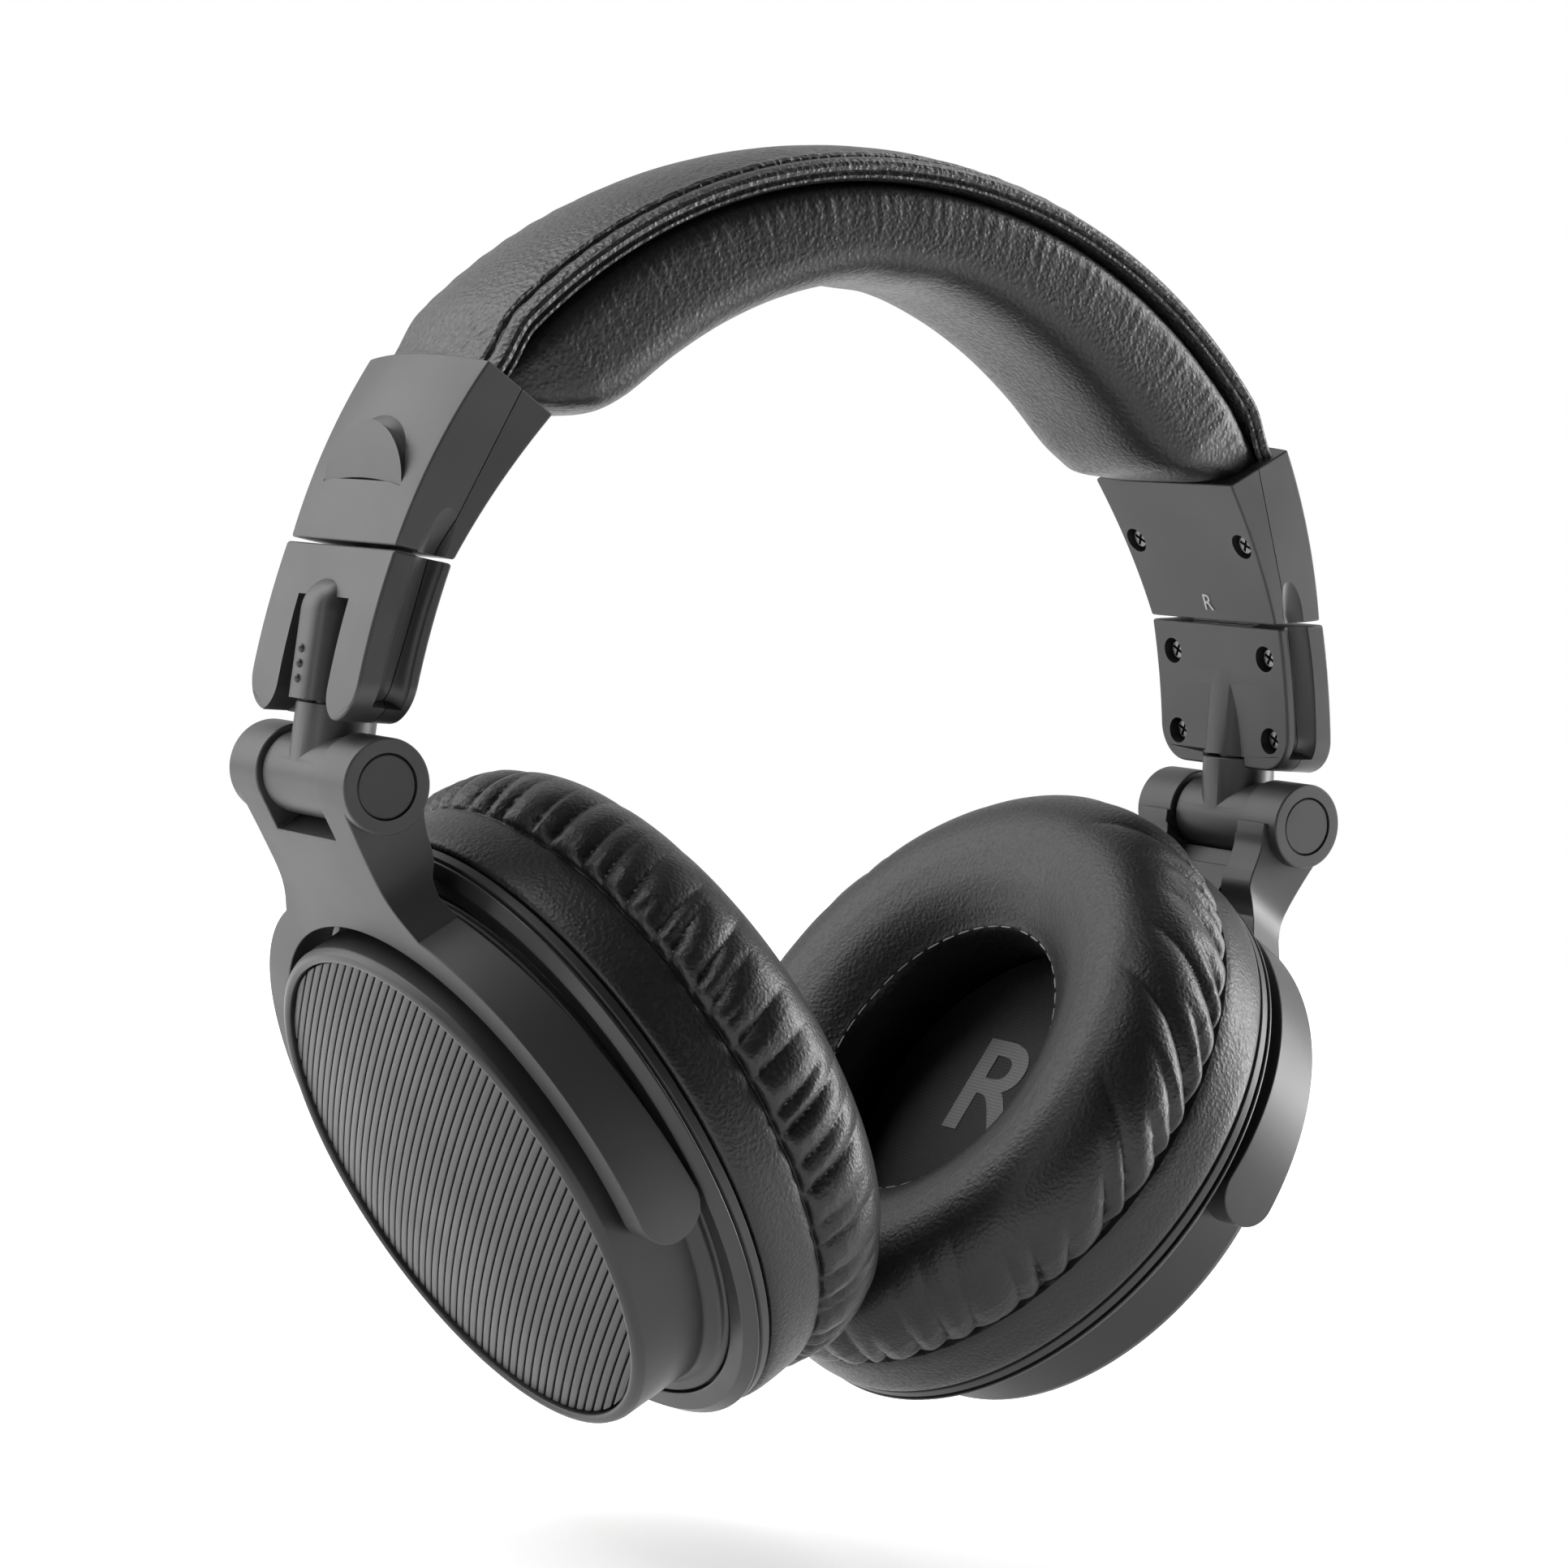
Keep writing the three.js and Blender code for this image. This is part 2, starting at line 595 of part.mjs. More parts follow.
const EAR_INNER_Y = BARREL_HALF_LENGTH + GAP;
const HINGE_IN_CUP = [-HINGE_BEHIND_FACE, HINGE_ABOVE_CUP];
const NECK_TOP = 55.2;              // the lower edge of the window between the two ears
const ARM_END = -3.1;
const NECK = [[16.1, 44.3], [14.8, 47], [14.4, 50], [14.4, 54], [14.7, 59], [15.2, 70]];

/** The fork seen from outside: a half ring round the cup's drum, with a waisted neck up to the ears. */
function yokeFront() {
  const flareAngle = 65.5;
  const lowCut = -8;
  const angleAt = (radius) => Math.asin(lowCut / radius) * 180 / Math.PI;
  const outerArc = arc([0, 0], YOKE_OUTER_R, angleAt(YOKE_OUTER_R), flareAngle, 9);
  const right = [...outerArc, ...NECK];
  const left = right.map(([y, z]) => [-y, z]).reverse();
  const innerAngle = angleAt(YOKE_INNER_R);
  return polygon([...right, ...left, ...arc([0, 0], YOKE_INNER_R, 180 - innerAngle, innerAngle, 22)]);
}

/** The fork seen from the front: rounded arm ends, then the neck and the prongs behind the ears. */
function yokeSide() {
  const front = -YOKE_FRONT;
  const endR = YOKE_ARM_DEPTH / 2;
  return polygon([
    ...arc([front - endR, ARM_END + endR], endR, 180, 360, 6),
    [front, HINGE_ABOVE_CUP],
    [-HINGE_BEHIND_FACE, HINGE_ABOVE_CUP],
    [-14, 57.2],
    [-11.7, 53],
    [-11.2, 48],
    [-9.6, 46],
    [-8.9, 44],
  ]);
}

function yoke() {
  const [hingeX, hingeZ] = HINGE_IN_CUP;
  const sideBlank = solid(extrudeAcross(yokeSide(), -50, 50));
  const plate = solid(extrudeOutward(yokeFront(), -20, 0)).intersect(sideBlank);
  const window = solid(box([-20, 5], [-EAR_INNER_Y, EAR_INNER_Y], [NECK_TOP, 80]));
  const barrelSpace = solid(rodAcross(BARREL_R + GAP, -EAR_INNER_Y, EAR_INNER_Y, hingeX, hingeZ, 24));
  const coverSeat = solid(box([-20, -9], [-7.9, 7.9], [43, 70]));
  const ears = [-1, 1].map((side) => {
    const [y0, y1] = [EAR_INNER_Y * side, EAR_OUTER_Y * side].sort((a, b) => a - b);
    return solid(rodAcross(EAR_R, y0, y1, hingeX, hingeZ, 24));
  });
  const seatY = EAR_OUTER_Y - HINGE_HEAD_THICKNESS - GAP;
  const headSeats = [[-30, -seatY], [seatY, 30]].map(([y0, y1]) => solid(
    rodAcross(HINGE_HEAD_R + 0.25, y0, y1, hingeX, hingeZ, 28),
  ));
  const pinBore = solid(rodAcross(HINGE_PIN_R + GAP, -30, 30, hingeX, hingeZ));
  const pivotBore = solid(rodAcross(PIVOT_PIN_R + GAP, -43.6, 43.6, -PIVOT_DEPTH, 0));
  const spaces = [pinBore, pivotBore, ...headSeats];
  return cut(join(cut(plate, window, barrelSpace, coverSeat), ...ears), ...spaces);
}

function yokeInnerPlate() {
  return solid(box([-10.9, -9 - GAP], [-7.5, 7.5], [48.4, 53.9]));
}

/** The fold's pin, with a flat round head set into each ear. */
function hingePin() {
  const [hingeX, hingeZ] = HINGE_IN_CUP;
  const headY = EAR_OUTER_Y - HINGE_HEAD_THICKNESS;
  const shank = solid(rodAcross(HINGE_PIN_R, -EAR_OUTER_Y + 0.4, EAR_OUTER_Y - 0.4, hingeX, hingeZ));
  const heads = [[-EAR_OUTER_Y + 0.1, -headY], [headY, EAR_OUTER_Y - 0.1]].map(([y0, y1]) => solid(
    rodAcross(HINGE_HEAD_R, y0, y1, hingeX, hingeZ, 28),
  ));
  return join(shank, ...heads);
}

function pivotPin(side) {
  const [y0, y1] = [35.8 * side, 43.3 * side].sort((a, b) => a - b);
  return solid(rodAcross(PIVOT_PIN_R, y0, y1, -PIVOT_DEPTH, 0, 16));
}

// ---------------------------------------------------------------- ear cup
// Profiles are [radius, depth], with depth measured inward from the ribbed face.

function rearShell() {
  const inner = DRUM_R - DRUM_WALL;
  const profile = [
    [0, 1.6],
    [36.6, 1.6],
    [36.6, -0.5],
    [37.6, -0.6],
    [38.3, -0.1],
    [DRUM_R, 0.8],
    [DRUM_R, 9.6],
    [38.8, 11.3],
    [39.9, FLANGE_DEPTH],
    [41.4, FLANGE_DEPTH],
    [41.4, 14.2],
    [39.4, 14.2],
    [inner, 10.8],
    [inner, 3],
    [0, 3],
  ];
  const pinHoles = solid(rodAcross(PIVOT_PIN_R + GAP, -50, 50, -PIVOT_DEPTH, 0));
  return cut(solid(revolve(profile)), pinHoles, solid(jackPlace(rodDown(JACK_SLEEVE_R + GAP, 30, 50))));
}

/** A rod from the cup's middle towards its lowest point. */
function rodDown(radius, from, to) {
  return rodUp(radius, radius, -to, -from).translate(-PIVOT_DEPTH, 0, 0);
}

/** Turns a piece about the cup's own axis, from its lowest point to where the socket is. */
function jackPlace(geometry) {
  return geometry.rotateX(radians(JACK_ANGLE));
}

function jackSocket(boreR) {
  const sleeve = solid(rodDown(JACK_SLEEVE_R, 27, 39.4));
  return solid(jackPlace(toGeometry(cut(sleeve, solid(rodDown(boreR, 29, 50))))));
}

/** The domed disc in the cup's outer face, with a small flat in its middle. */
function ribbedEndPlate() {
  const top = PLATE_EDGE_DEPTH - PLATE_DOME;
  const back = 1.3;
  const slope = [PLATE_R, 32, 26, 20, 14].map((r) => [r, top + PLATE_DOME * (r / PLATE_R) ** 2]);
  return solid(revolve([[0, back], [PLATE_R, back], ...slope, [PLATE_FLAT_R, top], [0, top]]));
}

function trimRing() {
  const profile = [
    [41.7, FLANGE_DEPTH],
    [44.4, FLANGE_DEPTH],
    [FLANGE_R, 13.9],
    [FLANGE_R, 14.2],
    [41.7, 14.2],
  ];
  return solid(revolve([...profile, profile[0]]));
}

function baffle() {
  const profile = [
    [22.8, 14.5],
    [45.2, 14.5],
    [45.8, 15],
    [45.8, 16.2],
    [22.8, 16.2],
  ];
  return solid(revolve([...profile, profile[0]]));
}

function driver() {
  return solid(revolve([
    [0, 11.3],
    [19, 11.3],
    [22.4, 13.5],
    [22.4, 16.5],
    [25.2, 16.5],
    [25.2, 17.5],
    [21.5, 17.5],
    [20, 16.8],
    [12, 17.5],
    [6, 18.4],
    [0, 18.7],
  ]));
}

function driverMagnet() {
  return solid(revolve([[0, 4.6], [12, 4.6], [12, 11], [0, 11]], 24));
}

function earScrim() {
  return solid(revolve([[0, 19.2], [27.2, 19.2], [27.2, 19.8], [0, 19.8]]));
}

function earPad() {
  const outerCorner = arc([38, 31.2], 7.4, 0, 90, 4);
  const innerCorner = arc([29.6, 31.4], 7.1, 90, 180, 3);
  const profile = [
    [28.8, 16.6],
    [45.6, 16.6],
    [46.3, 17.6],
    [46.4, 24],
    ...outerCorner,
    ...innerCorner,
    [27.9, 20.4],
  ];
  return solid(revolve([...profile, profile[0]]));
}

// ---------------------------------------------------------------- assembly

const headphones = new THREE.Group();

addPiece(headphones, 1, 'headband_spring_band', 'steel',
  springBand(SPRING_HALF_WIDTH, SPRING_INNER_R, SPRING_THICKNESS, SPRING_END_ANGLE));
addPiece(headphones, 1, 'headband_top_cover', 'leather', headbandCover());
addPiece(headphones, 1, 'headband_cushion', 'leather', headbandCushion());

const housings = housingShells();
const blocks = blockShells();

for (const [side, mirror] of [['left', -1], ['right', 1]]) {
  const housing = frameGroup(mirror, HOUSING_X, HOUSING_Z, -SLIDE_TILT);
  addPiece(housing, mirror, `${side}_housing_outer`, 'satin_plastic', housings.outer);
  addPiece(housing, mirror, `${side}_housing_inner`, 'dark_plastic', housings.inner);
  addPiece(housing, mirror, `${side}_detent_spring`, 'steel', detentSpring());
  HOUSING_SCREWS.forEach(([y, z], i) => {
    const place = screw(HOUSING_SCREW_LENGTH).translate(HOUSING_SCREW_X, y, z);
    addPiece(housing, mirror, `${side}_housing_screw_${i + 1}`, 'black_steel', solid(place));
  });
  addPiece(housing, mirror, `${side}_slider_strip`, 'steel', sliderStrip());
  headphones.add(housing);

  const hinge = frameGroup(mirror, HINGE_X, HINGE_Z, 0);
  addPiece(hinge, mirror, `${side}_block_outer`, 'satin_plastic', blocks.outer);
  addPiece(hinge, mirror, `${side}_block_inner`, 'dark_plastic', blocks.inner);
  BLOCK_SCREWS.forEach((place, i) => {
    const placed = blockScrewAt(screw(BLOCK_SCREW_LENGTH), place);
    addPiece(hinge, mirror, `${side}_block_screw_${i + 1}`, 'black_steel', solid(placed));
  });
  addPiece(hinge, mirror, `${side}_swivel_knuckle`, 'satin_plastic', knuckle());
  addPiece(hinge, mirror, `${side}_post_retaining_clip`, 'steel', retainingClip());
  headphones.add(hinge);

  const fold = frameGroup(mirror, 0, 0, CUP_LEAN);
  const cup = frameGroup(mirror, HINGE_BEHIND_FACE, -HINGE_ABOVE_CUP, 0);
  addPiece(cup, mirror, `${side}_yoke`, 'satin_plastic', yoke());
  addPiece(cup, mirror, `${side}_yoke_inner_plate`, 'dark_plastic', yokeInnerPlate());
  addPiece(cup, mirror, `${side}_hinge_pin`, 'dark_plastic', hingePin());
  addPiece(cup, mirror, `${side}_pivot_pin_front`, 'steel', pivotPin(1));
  addPiece(cup, mirror, `${side}_pivot_pin_back`, 'steel', pivotPin(-1));
  addPiece(cup, mirror, `${side}_cup_rear_shell`, 'dark_plastic', rearShell());
  addPiece(cup, mirror, `${side}_ribbed_end_plate`, 'satin_plastic', ribbedEndPlate());
  addPiece(cup, mirror, `${side}_trim_ring`, 'dark_plastic', trimRing());
  addPiece(cup, mirror, `${side}_baffle`, 'dark_plastic', baffle());
  addPiece(cup, mirror, `${side}_driver`, 'cone', driver());
  addPiece(cup, mirror, `${side}_driver_magnet`, 'steel', driverMagnet());
  addPiece(cup, mirror, `${side}_ear_scrim`, 'scrim', earScrim());
  addPiece(cup, mirror, `${side}_ear_pad`, 'leather', earPad());
  addPiece(cup, mirror, `${side}_jack_socket`, 'brass', jackSocket(JACK_BORE_R[side]));
  fold.add(cup);
  hinge.add(fold);
}

export default headphones;
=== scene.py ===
"""The looks of a pair of folding over-ear headphones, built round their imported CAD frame.

Shapes are modelled in millimetres in the frame of the part that carries them, on the wearer's right side, and
deliver() then puts them in place in metres, mirrored for the left side.
"""

import json
import math

import bmesh
import bpy
import numpy as np
from mathutils import Matrix, Vector


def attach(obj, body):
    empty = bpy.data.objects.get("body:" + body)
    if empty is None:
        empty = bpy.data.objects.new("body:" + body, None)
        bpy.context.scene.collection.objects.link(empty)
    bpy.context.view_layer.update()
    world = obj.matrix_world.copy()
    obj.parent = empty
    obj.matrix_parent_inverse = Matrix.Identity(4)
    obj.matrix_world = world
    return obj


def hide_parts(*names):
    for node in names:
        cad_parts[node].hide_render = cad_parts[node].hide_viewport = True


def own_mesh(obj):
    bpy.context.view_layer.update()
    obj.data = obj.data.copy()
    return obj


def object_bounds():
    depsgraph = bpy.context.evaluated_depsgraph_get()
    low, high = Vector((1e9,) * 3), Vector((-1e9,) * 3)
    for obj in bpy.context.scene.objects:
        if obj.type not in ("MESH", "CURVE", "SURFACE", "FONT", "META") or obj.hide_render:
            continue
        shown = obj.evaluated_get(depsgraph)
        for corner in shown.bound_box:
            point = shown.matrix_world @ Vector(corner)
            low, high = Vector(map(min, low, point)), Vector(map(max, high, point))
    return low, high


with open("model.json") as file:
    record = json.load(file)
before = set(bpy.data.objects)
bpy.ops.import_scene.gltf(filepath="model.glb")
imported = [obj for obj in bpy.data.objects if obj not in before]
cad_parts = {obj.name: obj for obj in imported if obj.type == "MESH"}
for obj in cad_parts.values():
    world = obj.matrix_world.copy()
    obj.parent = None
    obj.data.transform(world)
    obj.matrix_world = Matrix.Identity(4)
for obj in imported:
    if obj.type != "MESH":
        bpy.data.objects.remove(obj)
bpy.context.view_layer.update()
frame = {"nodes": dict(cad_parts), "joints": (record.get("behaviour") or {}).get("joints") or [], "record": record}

MM = 0.001
SIDES = {"left": -1, "right": 1}
NODES = frame["nodes"]
JOINTS = {joint["name"]: joint for joint in frame["joints"]}
MOUNTS = {mount["name"]: mount for mount in frame["record"]["mounts"]}

# ---------------------------------------------------------------- driving dimensions, in millimetres

GAP = 0.3                         # clearance between pieces that meet
ROUND = 128                       # facets round a cup
PIN_ROUND = 64                    # facets round a pin, post or barrel

HEADBAND_HALF_WIDTH = 15
BAND_CENTRE_Z = -69.5             # centre of the headband's arc
COVER_OUTER_R = 87
COVER_INNER_R = 83.9
COVER_CROWN = 2.2                 # how far the cover's middle stands above its edges

HOUSING_LENGTH = 27.3
HOUSING_FOOT = (79.9, 0, -41.8)   # the outer bottom edge of the right housing
HOUSING_TOP_DEPTH = 12
HOUSING_FLARE = (14.5, 16.1)      # half width at the bottom and at the mouth
HOUSING_CROWN = 1.9               # how far the mouth's middle stands above its corners
HOUSING_BOTTOM_DEPTH = 8.7
HOUSING_SPLIT = -6.2              # where the outer and inner shells meet
SEAM_HALF_GAP = 0.07              # half the gap between two shells
STRIP_HALF_THICKNESS = 0.6
STRIP_HALF_WIDTH = 7
HOUSING_SCREW_LENGTH = 6.5
BLOCK_SCREW_LENGTH = 5.2
SCREW_HOLE_R = 1.2
SCREW_RECESS_R = 2.0

BARREL_R = 5.65
BARREL_HALF_LENGTH = 8
EAR_R = 6.4
EAR_OUTER_Y = 16.4
EAR_INNER_Y = BARREL_HALF_LENGTH + GAP
HINGE_PIN_R = 2.4
HINGE_HEAD_R = 4.3
HINGE_HEAD_THICKNESS = 1.2
SWIVEL_TILT = 4                   # the post leans inward this many degrees
POST_R = 2.95
POST_TOP = 20
CLIP_HEIGHT = 16.8                # where the clip's groove starts on the post
CLIP_THICKNESS = 0.8
CLIP_GROOVE_R = 2.1               # what is left of the post inside the groove
CLIP_SPACE_R = 4.2                # the clip's room in the block
BOSS_R = 5.25                     # the round boss on the block's inner half that the post turns in
BOSS_LEAN = 1
COLLAR_R = 5.5                    # the knuckle's collar, between the barrel and the block
COLLAR_TOP = 9.4

BLOCK_BOTTOM = 7.8
BLOCK_CORNER_R = 5.5
TONGUE_BOTTOM = 9.7
BLOCK_LEAN = 11.9                 # the block's faces lean in at the top by this many degrees

HINGE_ABOVE_CUP = 60.6
HINGE_BEHIND_FACE = 8.9
DRUM_R = 38.5
FLANGE_R = 45.9
FLANGE_DEPTH = 12.6               # from the ribbed face back to the flange
PLATE_R = 36.2
PLATE_DOME = 2.5                  # how far the middle of the ribbed plate stands above its edge
PLATE_EDGE = 0.2                  # how far that edge lies in from the zero of the cup's frame
YOKE_FRONT = 2.5
YOKE_ARM_DEPTH = 9.5
YOKE_INNER_R = 40.4
YOKE_OUTER_R = 45
PIVOT_DEPTH = 7.5
PIVOT_PIN_R = 1.8
SOCKET_BORE_R = 4.5
SOCKET_ANGLE = 25                 # degrees forward from the bottom of the cup

BEHIND = (0.57, 0.82, 0)          # the way the camera looks, over the ground
FLOOR_R = 1.2                     # in metres
FLOOR_DROP = 0.021                # in metres: the cups reach this low with an arm out or a fork folded

# ---------------------------------------------------------------- frames of the right side


def frame_matrix(origin, out, up):
    """The frame at an origin in metres, with X along out, Y to the front and Z along up."""
    return Matrix((
        (out[0], 0, up[0], origin[0]),
        (out[1], 1, up[1], origin[1]),
        (out[2], 0, up[2], origin[2]),
        (0, 0, 0, 1),
    ))


FACE_OUT = MOUNTS["right_end_plate_face"]["axis"]
HINGE_PLACE = JOINTS["right_fold"]["pos_m"]
SLIDE_AXIS = JOINTS["right_slider"]["axis"]
FACE_UP = (-FACE_OUT[2], 0, FACE_OUT[0])
HINGE_TO_CUP = HINGE_BEHIND_FACE * Vector(FACE_OUT) - HINGE_ABOVE_CUP * Vector(FACE_UP)
CUP = frame_matrix(Vector(HINGE_PLACE) + MM * HINGE_TO_CUP, FACE_OUT, FACE_UP)
HINGE = Matrix.Translation(HINGE_PLACE)
HOUSING = frame_matrix(
    MM * Vector(HOUSING_FOOT), (-SLIDE_AXIS[2], 0, SLIDE_AXIS[0]), [-a for a in SLIDE_AXIS],
)
HEADBAND = Matrix.Identity(4)
HOUSING_TO_HINGE = (
    Matrix.Scale(1 / MM, 4) @ HINGE.inverted() @ HOUSING @ Matrix.Scale(MM, 4)
)

# ---------------------------------------------------------------- outlines


def arc(centre, radius, start, end, steps):
    """Points of a circular arc between two angles in degrees."""
    angles = np.radians(np.linspace(start, end, steps + 1))
    return [(centre[0] + radius * math.cos(a), centre[1] + radius * math.sin(a)) for a in angles]


def curve(start, control, end, steps=10):
    """Points of a quadratic curve, without its first one."""
    points = []
    for t in np.linspace(0, 1, steps + 1)[1:]:
        weights = ((1 - t) ** 2, 2 * t * (1 - t), t * t)
        points.append(tuple(sum(w * p[k] for w, p in zip(weights, (start, control, end))) for k in (0, 1)))
    return points


def between(p, q, r, s, t):
    """The value at share t from q to r of a smooth curve through four values (Catmull-Rom)."""
    square = (2 * p - 5 * q + 4 * r - s) * t * t
    cube = (3 * q - p - 3 * r + s) * t ** 3
    return 0.5 * (2 * q + (r - p) * t + square + cube)


def through(points, steps=8):
    """A smooth curve through a few points, ends included."""
    padded = [points[0], *points, points[-1]]
    result = [points[0]]
    for neighbours in zip(padded, padded[1:], padded[2:], padded[3:]):
        for t in np.linspace(0, 1, steps + 1)[1:]:
            result.append(tuple(between(*values, t) for values in zip(*neighbours)))
    return result


def rounded(points, radius, steps=4):
    """A closed outline with its sharp corners rounded, by less where an edge is short."""
    result = []
    count = len(points)
    for i, corner in enumerate(points):
        before, here, after = (Vector(points[k % count]) for k in (i - 1, i, i + 1))
        back, ahead = before - here, after - here
        turn = math.pi - back.angle(ahead)
        if turn < math.radians(14):
            result.append(tuple(corner))
            continue
        reach = min(radius * math.tan(turn / 2), 0.45 * back.length, 0.45 * ahead.length)
        start, end = here + back.normalized() * reach, here + ahead.normalized() * reach
        result += [tuple(start), *curve(start, here, end, steps)]
    return result


def both_halves(right):
    """An outline that is the same on both sides of Y = 0, from the half that runs down its right side."""
    return [*right, *[(-y, z) for y, z in reversed(right)]]


# ---------------------------------------------------------------- closed meshes and booleans


def closed_mesh(vertices, faces):
    """A closed mesh with repeated corners merged and its faces pointing out."""
    bm = bmesh.new()
    corners = [bm.verts.new(v) for v in vertices]
    for face in faces:
        bm.faces.new([corners[i] for i in face])
    bmesh.ops.remove_doubles(bm, verts=bm.verts, dist=1e-4)
    bmesh.ops.recalc_face_normals(bm, faces=bm.faces)
    mesh = bpy.data.meshes.new("shape")
    bm.to_mesh(mesh)
    bm.free()
    return mesh


def grid_faces(rows, columns, closed_rows=True, closed_columns=True):
    """The faces of a grid of points, in rows one after another."""
    faces = []
    for i in range(rows if closed_rows else rows - 1):
        below = ((i + 1) % rows) * columns
        for j in range(columns if closed_columns else columns - 1):
            k = (j + 1) % columns
            faces.append((i * columns + j, below + j, below + k, i * columns + k))
    return faces


def swept(rows):
    """A closed solid through rows of points, capped at the first and last row."""
    columns = len(rows[0])
    last = (len(rows) - 1) * columns
    faces = grid_faces(len(rows), columns, closed_rows=False)
    caps = [tuple(range(columns)), tuple(range(last, last + columns))]
    return closed_mesh([point for row in rows for point in row], [*faces, *caps])


def prism(outline, axis, low, high):
    """An outline swept along Y (axis "y", outline in X and Z) or along X (axis "x", outline in Y and Z)."""

    def corner(point, t):
        return (point[0], t, point[1]) if axis == "y" else (t, point[0], point[1])

    return swept([[corner(point, t) for point in outline] for t in (low, high)])


def revolve(profile, segments=ROUND):
    """A closed outline of (radius, depth) points turned about X, with depth measured inward from X = 0."""
    vertices = []
    for angle in np.linspace(0, 2 * math.pi, segments, endpoint=False):
        vertices += [(-depth, r * math.sin(angle), r * math.cos(angle)) for r, depth in profile]
    return closed_mesh(vertices, grid_faces(segments, len(profile)))


def tube(path, radii, segments=PIN_ROUND):
    """A round bar along a path of points, with flat ends and a radius at each point."""
    points = [Vector(p) for p in path]
    side = None
    rows = []
    for i, point in enumerate(points):
        ahead = (points[min(i + 1, len(points) - 1)] - points[max(i - 1, 0)]).normalized()
        side = ahead.orthogonal() if side is None else side - ahead * side.dot(ahead)
        side.normalize()
        other = ahead.cross(side)
        rows.append([
            point + radii[i] * (math.cos(angle) * side + math.sin(angle) * other)
            for angle in np.linspace(0, 2 * math.pi, segments, endpoint=False)
        ])
    return swept(rows)


def rod(start, end, radius, end_radius=None, segments=PIN_ROUND):
    return tube([start, end], [radius, radius if end_radius is None else end_radius], segments)


def box(x, y, z):
    return prism([(x[0], z[0]), (x[1], z[0]), (x[1], z[1]), (x[0], z[1])], "y", *y)


def moved(mesh, matrix):
    mesh = mesh.copy()
    mesh.transform(matrix)
    if matrix.determinant() < 0:
        mesh.flip_normals()
    return mesh


def leaned(mesh, degrees, x=0, z=0):
    """Turned about Y so that its top leans inward, then moved."""
    return moved(mesh, Matrix.Translation((x, 0, z)) @ Matrix.Rotation(math.radians(-degrees), 4, "Y"))


def new_object(name, data):
    obj = bpy.data.objects.new(name, data)
    bpy.context.scene.collection.objects.link(obj)
    return obj


def baked(obj, *tools):
    """The object's mesh with its modifiers applied. The object and its tools are then removed."""
    graph = bpy.context.evaluated_depsgraph_get()
    mesh = bpy.data.meshes.new_from_object(obj.evaluated_get(graph))
    for used in (obj, *tools):
        bpy.data.objects.remove(used)
    return mesh


def combine(base, *steps):
    """Joins, cuts or intersects closed meshes in order. Each step is (operation, meshes)."""
    body = new_object("scratch", base)
    tools = []
    for operation, meshes in steps:
        for mesh in meshes:
            tools.append(new_object("scratch", mesh))
            modifier = body.modifiers.new(operation, "BOOLEAN")
            modifier.operation = operation
            modifier.solver = "MANIFOLD"
            modifier.object = tools[-1]
    return baked(body, *tools)


def softened(mesh, width, angle=32):
    """The mesh with its edges bevelled, as a moulding has them."""
    obj = new_object("scratch", mesh)
    flat = obj.modifiers.new("flat", "DECIMATE")
    flat.decimate_type = "DISSOLVE"
    flat.angle_limit = math.radians(0.6)
    bevel = obj.modifiers.new("bevel", "BEVEL")
    bevel.width = width
    bevel.segments = 3
    bevel.limit_method = "ANGLE"
    bevel.angle_limit = math.radians(angle)
    bevel.use_clamp_overlap = False
    bevel.miter_outer = "MITER_ARC"
    return baked(obj)


# ---------------------------------------------------------------- materials


def new_material(name, colour, roughness, **sockets):
    material = bpy.data.materials.new(name)
    material.use_nodes = True
    inputs = shader_inputs(material.node_tree)
    inputs["Base Color"].default_value = (*colour, 1)
    inputs["Roughness"].default_value = roughness
    for socket, value in sockets.items():
        inputs[socket.replace("_", " ").title()].default_value = value
    return material, material.node_tree


def shader_inputs(tree):
    return tree.nodes["Principled BSDF"].inputs


def texture(tree, kind, scale, output=0, **settings):
    """A texture in object space, with its scale in features per metre."""
    coordinates = tree.nodes.new("ShaderNodeTexCoord")
    node = tree.nodes.new("ShaderNodeTex" + kind)
    node.inputs["Scale"].default_value = scale
    for name, value in settings.items():
        if name in node.inputs:
            node.inputs[name].default_value = value
        else:
            setattr(node, name, value)
    tree.links.new(coordinates.outputs["Object"], node.inputs["Vector"])
    return node.outputs[output]


def mapped(tree, value, low, high, from_low=0.3, from_high=0.7):
    """A value stretched from one range to another, and held at its ends."""
    node = tree.nodes.new("ShaderNodeMapRange")
    for name, number in (("From Min", from_low), ("From Max", from_high), ("To Min", low), ("To Max", high)):
        node.inputs[name].default_value = number
    tree.links.new(value, node.inputs["Value"])
    return node.outputs["Result"]


def calculated(tree, operation, first, second):
    node = tree.nodes.new("ShaderNodeMath")
    node.operation = operation
    tree.links.new(first, node.inputs[0])
    tree.links.new(second, node.inputs[1])
    return node.outputs[0]


def roughened(tree, value, low, high, *from_range):
    """Varies the roughness between two values."""
    tree.links.new(mapped(tree, value, low, high, *from_range), shader_inputs(tree)["Roughness"])


def tinted(tree, colour, value, dark, light):
    """Varies the base colour between two shares of itself."""
    mix = tree.nodes.new("ShaderNodeMix")
    mix.data_type = "RGBA"
    mix.inputs[6].default_value = (*(c * dark for c in colour), 1)
    mix.inputs[7].default_value = (*(min(1, c * light) for c in colour), 1)
    tree.links.new(value, mix.inputs["Factor"])
    tree.links.new(mix.outputs[2], shader_inputs(tree)["Base Color"])


